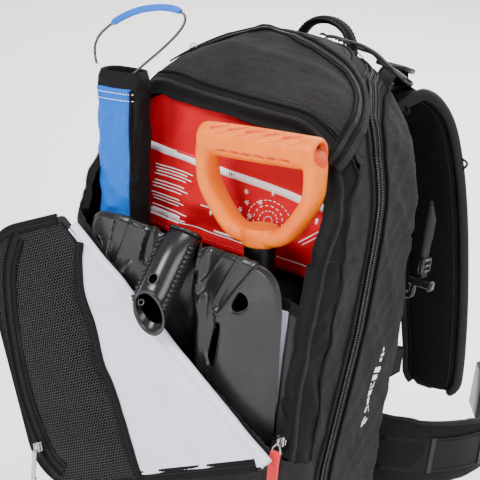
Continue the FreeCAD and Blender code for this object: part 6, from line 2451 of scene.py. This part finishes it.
def make_side_hook(m):
    """Compression strap's wing and webbing on the right, with its folding hook, finished in black plastic."""
    outline = [(62.5, 378), (62.5, 434), (78, 412), (78, 392)]
    rings = []
    for x, s in ((138.4, 0.9), (138.8, 1.0), (140.8, 1.0), (141.2, 0.9)):
        ring = resample(np.array(outline + outline[:1], float), 3.0)[:-1]
        c = ring.mean(axis=0)
        rings.append([np.array((x, *(c + (q - c) * s))) for q in ring])
    piece("side_wing", *loft(rings), m["pack"], "pack_body", slot="pack_fabric", replaces=("side_strap",))
    web = np.array([(140.2 + 0.6 * math.sin(z / 9), 72 + 1.0 * math.sin(z / 13), z)
                    for z in np.arange(398, 353, -2.5)])
    piece("side_webbing", *sweep(web, strap_profile(12, 1.8), normals=(1, 0, 0)), m["webbing"], "pack_body",
          slot="webbing_black")
    lock = [block((140.4, 72, z), (5.0, 17, 2.8), None, 0.3) for z in (362, 367.5, 373)]
    lock += [block((140.4, 72 + s * 7.6, 367.5), (4.6, 2.6, 13.5), None, 0.3) for s in (-1, 1)]
    obj = piece("side_ladder_lock", *gather(*lock), m["plastic"], "pack_body", slot="buckle_black")
    sharp_edges(obj, 50)
    path = catmull([(150, 72, 350), (143, 72, 350), (136, 72, 349.5), (132.5, 72, 346), (132, 72, 340),
                    (131, 72, 335.5), (127, 72, 334), (124, 72, 336)], 8)
    shapes = [sweep(path, round_profile(3.1, 14)), sweep(np.array([(128, 72, 349.5), (151, 72, 349.5)]),
                                                          round_profile(3.8, 14))]
    shapes.append(block((150, 72, 349.5), (4, 9.4, 9.4), None, 0.3))
    obj = piece("side_hook_bar", *gather(*shapes), m["plastic"], "hook", slot="buckle_black",
                replaces=("side_hook",))
    sharp_edges(obj, 50)
    # lower triangular wings where the shoulder straps' webbing is sewn in
    shapes = []
    for side in (-112, 112):
        outline = [(61.5, 237), (61.5, 281), (117, 262), (117, 238)]
        rings = []
        for dx, s in ((-1.6, 0.94), (-1.0, 1.0), (1.0, 1.0), (1.6, 0.94)):
            ring = resample(np.array(outline + outline[:1], float), 4.0)[:-1]
            c = ring.mean(axis=0)
            rings.append([np.array((side + dx, *(c + (q - c) * s))) for q in ring])
        shapes.append(loft(rings))
    piece("strap_wings", *gather(*shapes), m["pack"], "pack_body", slot="pack_fabric",
          replaces=("lower_wings",))
    edge = []
    for side in (-112, 112):
        line = np.array([(side, lerp(62, 116, t), lerp(281, 262, t)) for t in np.linspace(0, 1, 18)])
        edge.append(sweep(line, round_profile(1.8, 8)))
        line = np.array([(side, lerp(62, 116, t), lerp(237, 238, t)) for t in np.linspace(0, 1, 18)])
        edge.append(sweep(line, round_profile(1.8, 8)))
    piece("strap_wing_edges", *gather(*edge), m["binding"], "pack_body", slot="binding_black")


def inner_half(y, z, sizes):
    """Half the width inside the body's shell at a depth and a height."""
    k = int(np.clip(np.searchsorted(sizes[:, 0], z), 1, len(sizes) - 1))
    below, above = sizes[k - 1], sizes[k]
    size = below + (above - below) * (z - below[0]) / (above[0] - below[0])
    ring = ring_at(z, *size[1:4], inset=3.6)
    right = ring[ring[:, 0] > 0]
    right = right[np.argsort(right[:, 1])]
    return float(np.interp(y, right[:, 1], right[:, 0]))


def make_inner_cloth(m):
    """The quilted wall behind the tools, their floor, and the airbag folded at the top."""
    sizes = level_sizes(200)
    path = resample(np.array(MAIN_ZIP, float), 4.0)
    path = path[(path[:, 1] > 110) & (path[:, 1] < 541)]
    tangent = np.gradient(path, axis=0)
    tangent /= np.linalg.norm(tangent, axis=1)[:, None]
    ahead = np.stack([-tangent[:, 1], tangent[:, 0]], axis=1)
    rows = []
    for i, (y, z) in enumerate(path):
        half, s = inner_half(y, z, sizes), 4.0 * i
        for x in np.linspace(-half, half, 75):
            quilt = abs(math.sin(math.pi * x / 58)) * abs(math.sin(math.pi * s / 62))
            rise = 2.3 + 1.3 * quilt ** 0.35 - 0.6
            rows.append((x, y + ahead[i][0] * rise, z + ahead[i][1] * rise, x, s))
    faces = grid_faces(len(path), 75)
    wall = cloth_layer("divider_quilt", rows, faces, m["divider"], "lid", "divider_black", 1.2,
                       ("tool_divider",))

    half = inner_half(-90, 110, sizes) - 0.5
    rows = []
    for x in np.linspace(-half, half, 91):
        front = -122 + 10 * (x / half) ** 2 + 26 * max(0.0, (abs(x) - (half - 30)) / 30) ** 2.6
        for t in np.linspace(0, 1, 25):
            y = lerp(front, -64.5, t)
            quilt = abs(math.sin(math.pi * x / 34)) * abs(math.sin(math.pi * (y + 64) / 30))
            z = 109.6 + 1.1 * quilt ** 0.4
            rows.append((x, y, z, x, y))
    faces = grid_faces(91, 25)
    floor = cloth_layer("floor_quilt", rows, faces, m["divider"], "lid", "divider_black", 1.0,
                        ("tool_floor",))

    shapes = []
    for k in range(6):
        z0, rings = 439.5 + 13.0 * k, []
        for x in np.linspace(-90, 90, 61):
            end = max(0.12, (1 - (abs(x) / 91) ** 8)) ** 0.5
            deep = (18.0 - 1.2 * noise.noise(Vector((x / 30, k * 3.1, 1.0)))) * end
            tall = (7.6 + 1.0 * noise.noise(Vector((x / 16, k * 5.3, 4.0)))) * end
            shift = 1.6 * noise.noise(Vector((x / 40, k * 2.2, 9.0)))
            rings.append([np.array((x, 20 + deep * bulged(math.cos(a), 0.6),
                                    z0 + shift + tall * bulged(math.sin(a), 0.8)))
                          for a in turn(40)])
        shapes.append(loft(rings))
    bag = piece("airbag_folds", *gather(*shapes), m["airbag"], "pack_body", slot="airbag_orange",
                replaces=("airbag",))
    puff(bag, 2.0, 2.6, 1.5)
    bands = []
    for x in (-48, 48):
        band = [(x, 20 + 20.5 * bulged(math.cos(a), 0.5),
                 472 + 40.0 * bulged(math.sin(a), 0.5))
                for a in turn(48)]
        band = np.array(band)
        bands.append(sweep(band, strap_profile(14, 1.2), closed=True, normals=band - [x, 20, 472]))
    piece("airbag_bands", *gather(*bands), m["webbing"], "pack_body", slot="webbing_black")


def make_tool_sleeve(m):
    """Cloth that stands behind the blade's right side: a pale strip and a dark fold."""
    xs, zs = np.arange(84, 121, 1.8), np.arange(116, 366, 4.0)
    points, faces = [], []
    for z in zs:
        for x in xs:
            fold = 3.0 * math.sin((x - 84) / 5.2 + 0.7 * math.sin(z / 60)) * smoothstep(92, 108, x)
            y = (BLADE_BACK + 1.5 - fold * 0.8 - 6.5 * smoothstep(103, 110, x)
                 + 1.2 * soft_noise((x, 0, z), 30, 2))
            points.append(np.array((x, y, z)))
    faces = grid_faces(len(zs), len(xs))
    obj = piece("sleeve_cloth", lean(points, BLADE_X, BLADE_BACK), faces, m["lining"], "lid",
                slot="lining_white", replaces=("tool_sleeve",), paints=(m["sleeve_dark"], m["binding"]))
    for poly in obj.data.polygons:
        x, z = poly.center.x / MM, poly.center.z / MM
        poly.material_index = 2 if z > 352 else (1 if x > 105.5 else 0)
    modify(obj, "SOLIDIFY", thickness=0.0008, offset=0.0)
    smooth_faces(obj)


def paint_nodes(m):
    """Materials of the CAD nodes that stay visible."""
    paints = {
        "frame_sheet": "sheet", "frame_stays": "stay", "inflator_housing": "housing",
        "inlet_grille": "plastic",
        "valve_head": "brass", "gas_cylinder": "cylinder", "release_lever": "steel", "striker_pin": "steel",
        "release_cable": "rubber", "shovel_shaft": "shaft", "lock_button": "steel", "probe_tubes": "tube",
    }
    for node, paint in paints.items():
        obj = bpy.data.objects.get(node)
        if obj is None:
            continue
        if not obj.material_slots:
            obj.data.materials.append(m[paint])
        for slot in obj.material_slots:
            slot.material = m[paint]


make_camera()
make_stage()
m = make_materials()
make_wire(m)
make_body(m)
make_flap(m)
make_inner_cloth(m)
make_red_panel(m)
make_blade(m)
make_grip(m)
make_probe_bag(m)
make_tool_sleeve(m)
make_straps(m)
make_pads(m)
make_belt(m)
make_sliders(m)
make_haul_loop(m)
make_side_hook(m)
paint_nodes(m)
